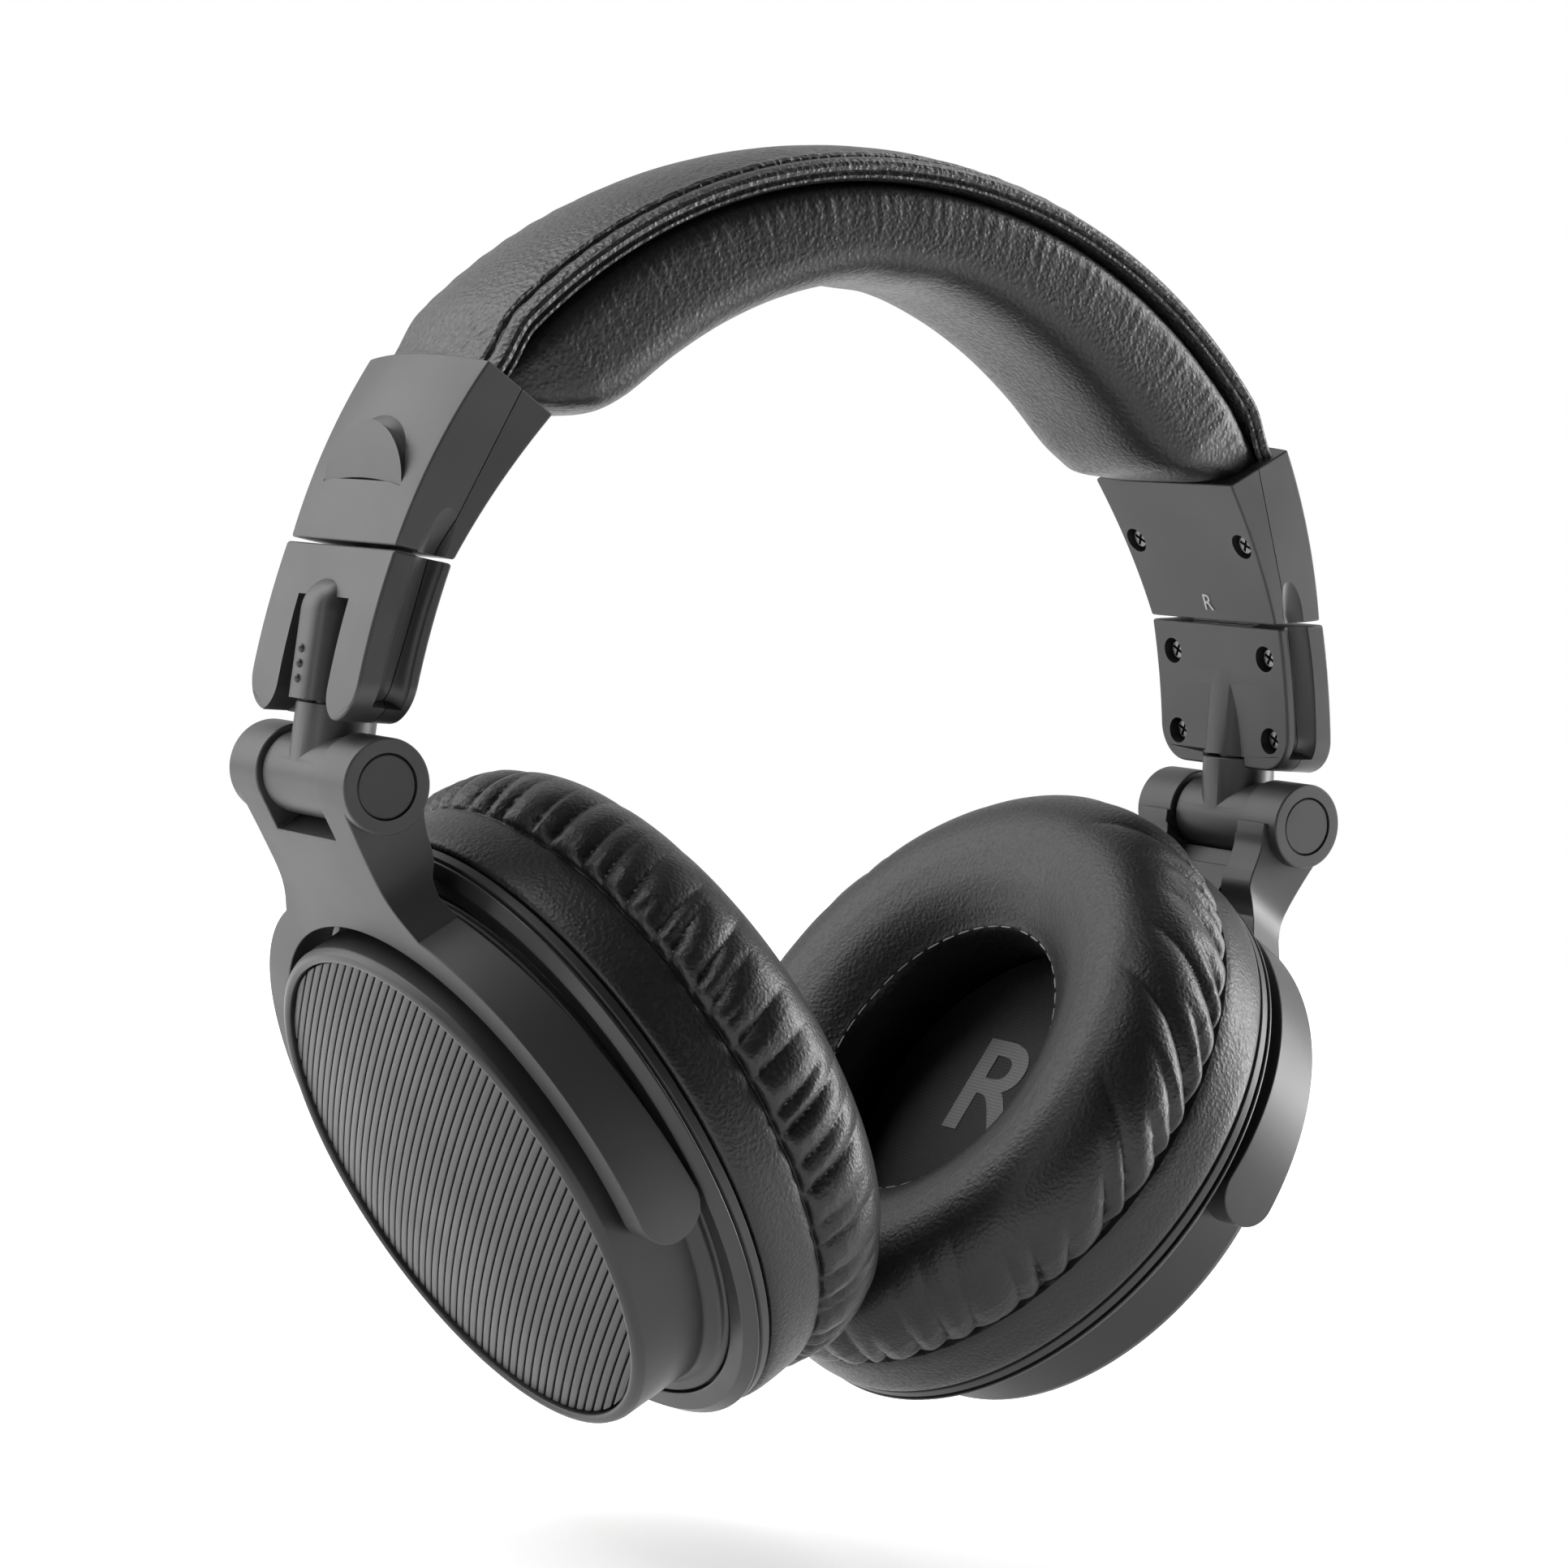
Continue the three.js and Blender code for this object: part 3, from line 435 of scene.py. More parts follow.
def bumped(tree, *heights):
    """Stacks bump maps, each a (height, depth in millimetres) pair."""
    normal = None
    for height, depth in heights:
        bump = tree.nodes.new("ShaderNodeBump")
        bump.inputs["Strength"].default_value = 1
        bump.inputs["Distance"].default_value = depth * MM
        tree.links.new(height, bump.inputs["Height"])
        if normal is not None:
            tree.links.new(normal, bump.inputs["Normal"])
        normal = bump.outputs["Normal"]
    tree.links.new(normal, shader_inputs(tree)["Normal"])


def moulded_plastic(name, colour, roughness, grain=0.006):
    """Satin ABS: a very fine spark texture, slightly uneven sheen and faint handling marks."""
    material, tree = new_material(name, colour, roughness)
    fine = texture(tree, "Noise", 3200, Detail=2)
    broad = texture(tree, "Noise", 55, Detail=4)
    tinted(tree, colour, broad, 0.9, 1.1)
    roughened(tree, broad, roughness - 0.04, roughness + 0.05)
    bumped(tree, (fine, grain))
    return material


def grained_leather(name, colour, roughness, cell=0.75, depth=0.05, wrinkle=0.12, specular=0.4):
    """Synthetic leather: small rounded grain cells, finer creases between them and slow wrinkles."""
    material, tree = new_material(name, colour, roughness, coat_weight=0.06, coat_roughness=0.35)
    shader_inputs(tree)["Specular IOR Level"].default_value = specular
    cells = texture(tree, "Voronoi", 1 / (cell * MM), "Distance", feature="SMOOTH_F1", Randomness=1)
    fine = texture(tree, "Noise", 1500, Detail=3)
    broad = texture(tree, "Noise", 110, Detail=2)
    height = calculated(tree, "SUBTRACT", fine, cells)
    tinted(tree, colour, broad, 0.75, 1.25)
    roughened(tree, cells, roughness - 0.06, roughness + 0.12, 0.1, 0.8)
    bumped(tree, (broad, wrinkle), (height, depth))
    return material


def woven_cloth(name, colour, pitch=0.45, depth=0.06):
    """A plain weave over the driver, with threads across and along the disc and a slight nap."""
    material, tree = new_material(name, colour, 0.95, sheen_weight=0.25, sheen_roughness=0.5)
    uneven = {"Distortion": 0.6, "Detail Scale": 2}
    threads = [
        texture(tree, "Wave", 0.314 / (pitch * MM), "Fac", bands_direction=direction, **uneven)
        for direction in ("Y", "Z")
    ]
    weave = calculated(tree, "MAXIMUM", *threads)
    nap = texture(tree, "Noise", 900, Detail=3)
    tinted(tree, colour, weave, 0.6, 1.5)
    bumped(tree, (nap, 0.05), (weave, depth))
    return material


def brushed_metal(name, colour, roughness):
    material, tree = new_material(name, colour, roughness, metallic=1.0)
    streaks = texture(tree, "Noise", 900, Detail=4, Distortion=0.2)
    roughened(tree, streaks, roughness - 0.08, roughness + 0.1)
    tinted(tree, colour, streaks, 0.88, 1.08)
    bumped(tree, (streaks, 0.004))
    return material


def twisted_thread(name, colour):
    material, tree = new_material(name, colour, 0.6, sheen_weight=0.3)
    fibres = texture(tree, "Noise", 6000, Detail=2)
    tinted(tree, colour, fibres, 0.7, 1.2)
    bumped(tree, (fibres, 0.02))
    return material


MATERIALS = {
    "satin_plastic": moulded_plastic("satin plastic", (0.027, 0.027, 0.028), 0.42),
    "inner_plastic": moulded_plastic("dark satin plastic", (0.016, 0.016, 0.0168), 0.42),
    "cup_plastic": moulded_plastic("cup plastic", (0.012, 0.012, 0.0125), 0.38),
    "rib_plastic": moulded_plastic("ribbed plastic", (0.025, 0.025, 0.026), 0.42, 0.004),
    "trim_plastic": moulded_plastic("trim plastic", (0.018, 0.018, 0.019), 0.33, 0.003),
    "headband_leather": grained_leather(
        "headband leather", (0.012, 0.012, 0.0125), 0.38, 0.7, 0.20, 0.04, specular=0.5,
    ),
    "cushion_leather": grained_leather("cushion leather", (0.008, 0.008, 0.0084), 0.42, 0.6, 0.10, 0.05),
    "ear_pad_leather": grained_leather("ear pad leather", (0.008, 0.008, 0.0084), 0.40, 0.5, 0.07, 0.03),
    "spring_steel": brushed_metal("spring steel", (0.45, 0.45, 0.46), 0.35),
    "screw_steel": brushed_metal("black screw steel", (0.16, 0.16, 0.165), 0.30),
    "cone_plastic": moulded_plastic("cone film", (0.03, 0.03, 0.032), 0.4),
    "scrim_fabric": woven_cloth("driver cloth", (0.012, 0.012, 0.013)),
    "socket_brass": brushed_metal("socket brass", (0.6, 0.42, 0.16), 0.3),
}
STITCH = twisted_thread("pale stitching thread", (0.20, 0.20, 0.195))
DARK_STITCH = twisted_thread("black stitching thread", (0.02, 0.02, 0.021))
PALE_PRINT = moulded_plastic("pale side mark", (0.40, 0.40, 0.40), 0.6)
CLOTH_PRINT = woven_cloth("printed side letter", (0.12, 0.12, 0.12), depth=0.05)


def paint(mesh, material):
    mesh.materials.clear()
    mesh.materials.append(material)


# ---------------------------------------------------------------- putting pieces in place


def shade(obj):
    obj.data.shade_smooth()
    obj.data.set_sharp_from_angle(angle=math.radians(24))


def deliver(name, shape, place, body, slot, replaces=(), side="right", material=None, facets=True):
    """Puts a piece in place and lets it ride on a CAD body. Facets are for a machined or moulded piece."""
    mesh = shape.copy()
    mirror = Matrix.Diagonal((SIDES[side], 1, 1, 1))
    mesh.transform(mirror @ place @ Matrix.Scale(MM, 4))
    if SIDES[side] < 0:
        mesh.flip_normals()
    mesh.name = name
    paint(mesh, material or MATERIALS[slot])
    obj = new_object(name, mesh)
    shade(obj)
    if facets:
        normals = obj.modifiers.new("even shading", "WEIGHTED_NORMAL")
        normals.keep_sharp = True
    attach(obj, body)
    if replaces:
        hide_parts(*replaces)
    return obj


def joined(meshes):
    """Several meshes as one."""
    bm = bmesh.new()
    for mesh in meshes:
        bm.from_mesh(mesh)
    result = bpy.data.meshes.new("joined")
    bm.to_mesh(result)
    bm.free()
    return result


def stitches(path, length, pitch, radius):
    """A running stitch along a closed or open path of points: short round bars that dip at their ends."""
    points = [Vector(p) for p in path]
    distance = [0.0]
    for a, b in zip(points, points[1:]):
        distance.append(distance[-1] + (b - a).length)

    def at(d):
        i = min(np.searchsorted(distance, d) - 1, len(points) - 2)
        i = max(i, 0)
        t = (d - distance[i]) / (distance[i + 1] - distance[i])
        return points[i].lerp(points[i + 1], t)

    shares = (0, 0.15, 0.5, 0.85, 1)
    radii = [radius * r for r in (0.45, 0.9, 1, 0.9, 0.45)]
    starts = np.arange(0, distance[-1] - length, pitch)
    return joined([tube([at(start + share * length) for share in shares], radii, 8) for start in starts])


# ---------------------------------------------------------------- headband

UNDERSIDE = [                     # the cushion's inner radius at angles from the top, in degrees
    (0, 69.5), (6, 69.6), (16, 68.5), (25, 67.4), (33, 66.5),
    (41, 66.0), (46, 67.6), (49.5, 71.5), (52.5, 76.5), (58, 79),
]
BAND_END = 54.5                   # degrees from the top to where the leather ends, inside the housings
MOUTH_ANGLE = 52.6                # degrees from the top to the housings' mouths
STITCH_PITCH = 4.6
STITCH_Y = 12.3


def band_point(angle, radius, y):
    """A point of the headband from its angle from the top in degrees, its radius and its Y."""
    a = math.radians(angle)
    return (radius * math.sin(a), y, BAND_CENTRE_Z + radius * math.cos(a))


def swept_band(section, end, stations):
    """A closed section of (radius, y) points, which may vary with the angle, swept along the headband."""
    angles = np.linspace(-end, end, stations)
    return swept([[band_point(a, r, y) for r, y in section(a)] for a in angles])


def cover_section(angle):
    """The top panel, a seam near each edge, a rolled border, a groove and a thin bead under it."""
    along = math.radians(angle) * COVER_OUTER_R
    near_mouth = min(max((abs(angle) - MOUTH_ANGLE + 6) / 5.5, 0), 1)
    crown = COVER_CROWN * (1 - 0.15 * near_mouth)
    pucker = 0.05 * math.cos(2 * math.pi * along / STITCH_PITCH)
    slump = 0.1 * math.sin(along * 0.9) * math.sin(along * 0.23)
    edge = COVER_OUTER_R - 1.6 * near_mouth * near_mouth * (3 - 2 * near_mouth)
    half = [
        (edge + crown, 0),
        (edge + crown * 0.96, 3),
        (edge + crown * 0.84, 6),
        (edge + crown * 0.62 + 0.5 * slump, 8.8),
        (edge + crown * 0.42 + 0.5 * slump, 10.6),
        (edge + crown * 0.30 + 0.12 + pucker, 11.6),
        (edge + crown * 0.22 - 0.05 + pucker * 0.6, 12.0),
        (edge - 0.42, STITCH_Y),
        (edge + 0.05, 12.65),
        (edge + 0.12, 13.2),
        (edge - 0.1, 14.0),
        (edge - 0.55, 14.65),
        (edge - 1.1, 14.95),
        (edge - 1.7, 14.8),
        (edge - 2.0, 14.35),
        (edge - 2.2, 14.5),
        (edge - 2.45, 14.75),
        (edge - 2.8, 14.7),
        (edge - 3.0, 14.3),
        (COVER_INNER_R - 0.1, 13.6),
    ]
    return half + [(r, -y) for r, y in reversed(half[1:])]


def underside_radius(angle):
    angles, radii = zip(*UNDERSIDE)
    a = abs(angle)
    i = max(0, min(int(np.searchsorted(angles, a)) - 1, len(angles) - 2))
    t = (a - angles[i]) / (angles[i + 1] - angles[i])
    return between(*(radii[max(0, min(k, len(radii) - 1))] for k in (i - 1, i, i + 1, i + 2)), t)


def cushion_section(angle):
    """A fat rounded section, squarer at its sewn top edge, with small puckers under the seam."""
    top = COVER_INNER_R - 0.25
    bottom = underside_radius(angle)
    middle, half_height = (top + bottom) / 2, (top - bottom) / 2
    along = math.radians(angle) * COVER_INNER_R
    near_end = max(0.0, 1 - (BAND_END - 2 - abs(angle)) / 7)
    half_width = 15.2 - 1.6 * near_end
    points = []
    for t in np.linspace(0, 2 * math.pi, 72, endpoint=False):
        power = 2 / 7 if math.sin(t) > 0 else 2 / 3.1
        y = half_width * math.copysign(abs(math.cos(t)) ** power, math.cos(t))
        r = half_height * math.copysign(abs(math.sin(t)) ** power, math.sin(t))
        high = max(0.0, r / half_height) if half_height else 0
        pucker = 0.16 * math.sin(along * 1.35) * math.sin(along * 0.31 + 1) * high * (1 - high) * 4
        waist = 0.35 * high ** 3
        y -= math.copysign(waist, y) - math.copysign(pucker, y)
        crease = 0.35 * math.exp(-((abs(angle) - 47) / 1.6) ** 2) * math.sin(3 * t + 1.1) * (1 - high)
        points.append((middle + r + crease, y))
    return points


def headband():
    cover = deliver(
        "headband_leather_panel", swept_band(cover_section, BAND_END, 420), HEADBAND, "headband",
        "headband_leather", ["headband_top_cover"], facets=False,
    )
    cushion = deliver(
        "headband_soft_cushion", swept_band(cushion_section, BAND_END - 1.5, 320), HEADBAND, "headband",
        "cushion_leather", ["headband_cushion"], facets=False,
    )
    seam_end = BAND_END - 1
    lines = []
    for y in (-STITCH_Y, STITCH_Y):
        line = []
        for a in np.linspace(-seam_end, seam_end, 300):
            seam = min(cover_section(a), key=lambda point: abs(point[1] - y))
            line.append(band_point(a, seam[0] + 0.22, y))
        lines.append(stitches(line, 3.1, STITCH_PITCH, 0.24))
    deliver("headband_seam_stitches", joined(lines), HEADBAND, "headband", "headband_leather",
            material=DARK_STITCH, facets=False)


# ---------------------------------------------------------------- housings

HOUSING_SCREWS = [(-12.4, 15.2), (12.4, 15.2)]
HOUSING_SCREW_X = -9.0
THUMB_FOOT = 8.0
THUMB_HEIGHT = 8.0
THUMB_HALF_WIDTH = 10.6
THUMB_ARCH = 0.8                  # how far its foot line rises in the middle
THUMB_FACE = [(0.95, 8), (4.5, 16.4)]  # its flat face, sunk at the foot and proud at the top


def slot_box(low, high):
    """The slider strip's way through a housing or block, in the housing's frame."""
    half = STRIP_HALF_THICKNESS + GAP
    width = STRIP_HALF_WIDTH + GAP
    return box((HOUSING_SPLIT - half, HOUSING_SPLIT + half), (-width, width), (low, high))


def screw_hole(length):
    """A hole along X for a machine screw, with a recess for its head that is open at the inner face."""
    recess = rod((-6, 0, 0), (1.2, 0, 0), SCREW_RECESS_R, segments=40)
    shank = rod((1.1, 0, 0), (length + 0.5, 0, 0), SCREW_HOLE_R, segments=24)
    return combine(recess, ("UNION", [shank]))


def housing_outline():
    bulge = 1
    top_corner = (-HOUSING_TOP_DEPTH, HOUSING_LENGTH - 1.5)
    return [
        (0, 0),
        *curve((0, 0), (2 * bulge, HOUSING_LENGTH / 2), (0, HOUSING_LENGTH), 16),
        top_corner,
        *curve(top_corner, (-HOUSING_TOP_DEPTH + 3, HOUSING_LENGTH / 2), (-HOUSING_BOTTOM_DEPTH, 2.4), 16),
    ]


def flared_housing():
    """The housing's block, wider towards its mouth, with its outer face crowned to follow the leather."""
    outline = housing_outline()
    rows = []
    for across in np.linspace(-1, 1, 25):
        row = []
        for x, z in outline:
            up = min(max(z / HOUSING_LENGTH, 0), 1)
            half_width = HOUSING_FLARE[0] + (HOUSING_FLARE[1] - HOUSING_FLARE[0]) * up
            outer = min(max(1 + x / HOUSING_TOP_DEPTH, 0), 1)
            crown = HOUSING_CROWN * up * outer * (1 - across * across)
            row.append((x + crown, across * half_width, z))
        rows.append(row)
    return swept(rows)


def housing_body():
    body = softened(flared_housing(), 0.35, 45)
    upright = [(-1, THUMB_FACE[0][1]), *THUMB_FACE, (-1, THUMB_FACE[1][1])]
    outline = [(THUMB_HALF_WIDTH * y, THUMB_FOOT + THUMB_HEIGHT * z) for y, z in arc((0, 0), 1, 0, 180, 40)]
    outline += curve(outline[-1], (0, THUMB_FOOT + 2 * THUMB_ARCH), outline[0], 16)[:-1]
    moon = combine(prism(upright, "y", -12, 12), ("INTERSECT", [prism(outline, "x", -3, 9)]))
    above_foot = box((-5, 12), (-16, 16), (THUMB_FOOT + 0.4, 30))
    dish = combine(ellipsoid((3.0, 13.0, 10.6), (3.35, 0, THUMB_FOOT)), ("INTERSECT", [above_foot]))
    scoop = prism(outline, "x", THUMB_FACE[0][0] - 1, 9)
    return combine(body, ("DIFFERENCE", [dish, scoop]), ("UNION", [moon]))


def ellipsoid(radii, centre, segments=72):
    """A solid with half axes of its own along X, Y and Z."""
    profile = [(math.cos(a), -math.sin(a)) for a in np.linspace(-math.pi / 2, math.pi / 2, segments // 2)]
    profile = [(max(r, 0.0), d) for r, d in profile]
    shape = revolve(profile, segments)
    return moved(shape, Matrix.Translation(centre) @ Matrix.Diagonal((*radii, 1)))


GROOVE_R = 2.4
GROOVE_Y = 15.9                   # the cutter's centre line, just outside the side face
GROOVE_CENTRE = (-82.6, 3.5)      # what its line bends round, in the hinge's frame
GROOVE_BEND_R = 82.4


def side_groove(to_housing, mirror_y):
    """The half-round groove down the side faces, along the seam, as the bar that cuts it."""
    path = []
    for angle in np.linspace(4.2, 27, 40):
        a = math.radians(angle)
        x, z = GROOVE_CENTRE[0] + GROOVE_BEND_R * math.cos(a), GROOVE_CENTRE[1] + GROOVE_BEND_R * math.sin(a)
        below_corner = max(0.0, BLOCK_BOTTOM + BLOCK_CORNER_R - z)
        corner = BLOCK_CORNER_R - math.sqrt(BLOCK_CORNER_R ** 2 - below_corner ** 2)
        fade = max(0.0, (z - 31.5) / 5.0)
        path.append((x, mirror_y * (GROOVE_Y - corner + 1.6 * fade ** 1.5), z))
    bar = tube(path, [GROOVE_R] * len(path), 48)
    return moved(bar, HOUSING_TO_HINGE.inverted()) if to_housing else bar


def housing_shells():
    body = housing_body()
    pocket = box((HOUSING_SPLIT, -1.8), (-8.6, 8.6), (3, 24.6))
    hole = screw_hole(HOUSING_SCREW_LENGTH)
    holes = [moved(hole, Matrix.Translation((HOUSING_SCREW_X, y, z))) for y, z in HOUSING_SCREWS]
    grooves = [side_groove(True, mirror_y) for mirror_y in (-1, 1)]
    strip_way = slot_box(-2, HOUSING_LENGTH + 2)
    outside = box((HOUSING_SPLIT + SEAM_HALF_GAP, 10), (-20, 20), (-10, 40))
    inside = box((-30, HOUSING_SPLIT - SEAM_HALF_GAP), (-20, 20), (-10, 40))
    outer = combine(body, ("INTERSECT", [outside]), ("DIFFERENCE", [strip_way, pocket, *grooves]))
    inner = combine(body, ("INTERSECT", [inside]), ("DIFFERENCE", [strip_way, *grooves, *holes]))
    return outer, inner


# ---------------------------------------------------------------- slider block, in the hinge's frame

BLOCK_SCREWS = [(-10.8, 24.9), (10.8, 24.9), (-10.8, 12.6), (10.8, 12.6)]
WINDOW_HALF_WIDTH = 7.0           # the opening in the outer half, round the tongue
WINDOW_TOP = 23.8
WINDOW_BACK = 1.4
WINDOW_FOOT_R = 4                 # its sides curve away from the tongue at the bottom
TONGUE_HALF_DEPTH = 6.5
TONGUE_HALF_WIDTH = 4.5
TONGUE_SHOULDER = 21.5            # where its rounded nose starts
TONGUE_NOSE = 5.2


def block_side():
    return [
        (5.3, BLOCK_BOTTOM),
        *curve((5.3, BLOCK_BOTTOM), (4.3, 19), (0.9, 30.65)),
        (-7.9, 29.35),
        *curve((-7.9, 29.35), (-4.8, 19), (-3.6, BLOCK_BOTTOM)),
    ]


def block_front():
    """The block seen from outside, with rounded lower corners."""
    half = HEADBAND_HALF_WIDTH
    low = BLOCK_BOTTOM + BLOCK_CORNER_R
    right = arc((half - BLOCK_CORNER_R, low), BLOCK_CORNER_R, 0, -90, 14)
    return both_halves([(half, 40), *right])


def block_screw_place(y, z):
    face_x = -3.2 - (z - BLOCK_BOTTOM) * math.tan(math.radians(BLOCK_LEAN)) + 1.2
    return Matrix.Translation((face_x, y, z)) @ Matrix.Rotation(math.radians(-BLOCK_LEAN), 4, "Y")


def block_half(side):
    """The space on one side of the block's slanting seam."""
    top, bottom = (-5.6, 32.5), (0.7, 5.8)
    seam = [(x + side * SEAM_HALF_GAP, z) for x, z in (top, bottom)]
    return prism([*seam, (side * 30, bottom[1]), (side * 30, top[1])], "y", -20, 20)


def on_post(mesh):
    """Puts a shape that stands on the Z axis on the post's leaning axis."""
    return leaned(mesh, SWIVEL_TILT)


def tongue():
    """The tongue over the post: a squarish oval column with a rounded nose that sinks into the block."""
    steps = np.linspace(0, math.pi / 2, 20)
    heights = [TONGUE_BOTTOM, *[TONGUE_SHOULDER + TONGUE_NOSE * math.sin(a) for a in steps]]
    radii = [1, *[max(math.cos(a) ** 0.8, 0.01) for a in steps]]
    bar = tube([(0, 0, h) for h in heights], radii, 96)
    for vertex in bar.vertices:
        x, y = vertex.co.x, vertex.co.y
        squared = math.hypot(x, y) / max((abs(x) ** 3 + abs(y) ** 3) ** (1 / 3), 1e-6)
        vertex.co.x *= squared * TONGUE_HALF_DEPTH
        vertex.co.y *= squared * TONGUE_HALF_WIDTH
    return on_post(bar)


def tongue_window():
    """The opening round the tongue, seen from outside: a slot whose lower corners curve away."""
    foot = BLOCK_BOTTOM + WINDOW_FOOT_R
    wide = WINDOW_HALF_WIDTH + WINDOW_FOOT_R
    right = [(wide, 0), *arc((wide, foot), WINDOW_FOOT_R, 270, 180, 10), (WINDOW_HALF_WIDTH, WINDOW_TOP)]
    return prism(both_halves(right), "x", WINDOW_BACK, 9)


def feel_dots():
    """Three raised dots down the middle of the left tongue."""
    dots = [ellipsoid((0.6, 0.6, 0.6), (TONGUE_HALF_DEPTH - 0.05, 0, z), 24) for z in (12.3, 14.3, 16.3)]
    return joined([on_post(dot) for dot in dots])


def block_shells():
    body = combine(
        prism(block_side(), "y", -HEADBAND_HALF_WIDTH, HEADBAND_HALF_WIDTH),
        ("INTERSECT", [prism(block_front(), "x", -12, 12)]),
    )
    body = softened(body, 0.45, 40)
    boss = leaned(rod((0, 0, TONGUE_BOTTOM), (0, 0, 27), BOSS_R, segments=96), BOSS_LEAN, -0.5)
    spaces = [
        on_post(rod((0, 0, 0), (0, 0, POST_TOP + 0.5), POST_R + GAP)),
        on_post(rod((0, 0, CLIP_HEIGHT - 0.7), (0, 0, CLIP_HEIGHT + 1.5), CLIP_SPACE_R)),
        on_post(rod((0, 0, 0), (0, 0, TONGUE_BOTTOM), COLLAR_R + GAP, segments=96)),
        moved(slot_box(-7.3, 10), HOUSING_TO_HINGE),
        *[moved(screw_hole(BLOCK_SCREW_LENGTH), block_screw_place(y, z)) for y, z in BLOCK_SCREWS],
        *[side_groove(False, mirror_y) for mirror_y in (-1, 1)],
    ]
    outer = combine(
        body,
        ("DIFFERENCE", [tongue_window()]),
        ("UNION", [tongue()]),
        ("INTERSECT", [block_half(1)]),
        ("DIFFERENCE", spaces),
    )
    inner = combine(body, ("UNION", [boss]), ("INTERSECT", [block_half(-1)]), ("DIFFERENCE", spaces))
    return outer, inner


def screw(length):
    """A machine screw along X, its cross-slotted head at the inner end."""
    head = revolve([(0, 0), (1.3, 0), (1.75, 0.4), (1.75, 0.9), (0.9, 1.1), (0.9, length), (0, length)], 48)
    head = moved(head, Matrix.Rotation(math.pi, 4, "Z"))
    slots = [box((-1, 0.7), (-1.15, 1.15), (-0.24, 0.24)), box((-1, 0.7), (-0.24, 0.24), (-1.15, 1.15))]
    return combine(head, ("DIFFERENCE", [moved(s, Matrix.Rotation(0.5, 4, "X")) for s in slots]))


# ---------------------------------------------------------------- knuckle and hinge pin


def knuckle():
    """The swivel post on its barrel. Its collar is nearly as wide as the barrel, so they meet in a V."""
    barrel_ends = [(0, y, 0) for y in (-BARREL_HALF_LENGTH, BARREL_HALF_LENGTH)]
    barrel = softened(rod(*barrel_ends, BARREL_R, segments=96), 0.3)
    post = on_post(rod((0, 0, 0), (0, 0, POST_TOP), POST_R))
    collar = on_post(softened(rod((0, 0, 0), (0, 0, COLLAR_TOP), COLLAR_R, segments=96), 0.2))
    pin_bore = rod((0, -20, 0), (0, 20, 0), HINGE_PIN_R + GAP)
    groove = combine(
        rod((0, 0, CLIP_HEIGHT - GAP), (0, 0, CLIP_HEIGHT + CLIP_THICKNESS + GAP), 6),
        ("DIFFERENCE", [rod((0, 0, 0), (0, 0, 30), CLIP_GROOVE_R)]),
    )
    return combine(barrel, ("UNION", [collar, post]), ("DIFFERENCE", [pin_bore, on_post(groove)]))


def hinge_pin():
    """The fold's pin, with a flat round head set into each ear, in the cup's frame."""
    outer = EAR_OUTER_Y - 0.12
    inner = EAR_OUTER_Y - HINGE_HEAD_THICKNESS
    half = [
        (HINGE_PIN_R, inner),
        (HINGE_HEAD_R, inner),
        (HINGE_HEAD_R, outer - 0.2),
        (HINGE_HEAD_R - 0.25, outer),
        (0, outer),
    ]
    turned = revolve([*[(r, -y) for r, y in reversed(half)], *half], PIN_ROUND)
    place = Matrix.Translation((-HINGE_BEHIND_FACE, 0, HINGE_ABOVE_CUP))
    return moved(turned, place @ Matrix.Rotation(math.pi / 2, 4, "Z"))


# ---------------------------------------------------------------- yoke, in the cup's frame

NECK_TOP = 55.2                   # the lower edge of the window between the two ears
ARM_END = -3.1                    # the lowest point of the fork's arms
RECESS_BOTTOM = 43                # of the hollow behind the neck that takes the cover plate
RECESS_HALF_WIDTH = 7.9
PLATE_HALF_WIDTH = 7.6
PLATE_FOOT = 45.8                 # the cover plate ends clear of the trim ring as the cup tilts


def yoke_front():
    """The fork seen from outside: a half ring round the drum, with a waisted neck up to the ears."""
    cut = -8
    outer_angle = math.degrees(math.asin(cut / YOKE_OUTER_R))
    inner_angle = math.degrees(math.asin(cut / YOKE_INNER_R))
    shoulder = arc((0, 0), YOKE_OUTER_R, outer_angle, 65.5, 36)
    neck = through([shoulder[-1], (16.1, 44.3), (14.8, 47), (14.4, 50), (14.4, 54), (14.7, 59)], 6)[1:]
    right = [*shoulder, *neck, (15.2, 70)]
    inner = arc((0, 0), YOKE_INNER_R, 180 - inner_angle, inner_angle, 96)
    return [*both_halves(right), *inner]


def yoke_side():
    """The fork seen from the front: rounded arm ends, a straight back edge and prongs behind the ears."""
    front = -YOKE_FRONT
    end_r = YOKE_ARM_DEPTH / 2
    return [
        *arc((front - end_r, ARM_END + end_r), end_r, 180, 360, 32),
        (front, HINGE_ABOVE_CUP - 0.3),
        *arc((-HINGE_BEHIND_FACE, HINGE_ABOVE_CUP), EAR_R - 0.5, 10, 120, 8),
        (-13.4, 57.6),
        *through([(-14.9, 57.0), (-14.0, 55.5), (-13.0, 54.0), (-12.3, 51.8), (-11.9, 49.8), (-11.3, 47.8),
                  (-9.8, 45.9), (-9.0, 43.8)], 6),
    ]


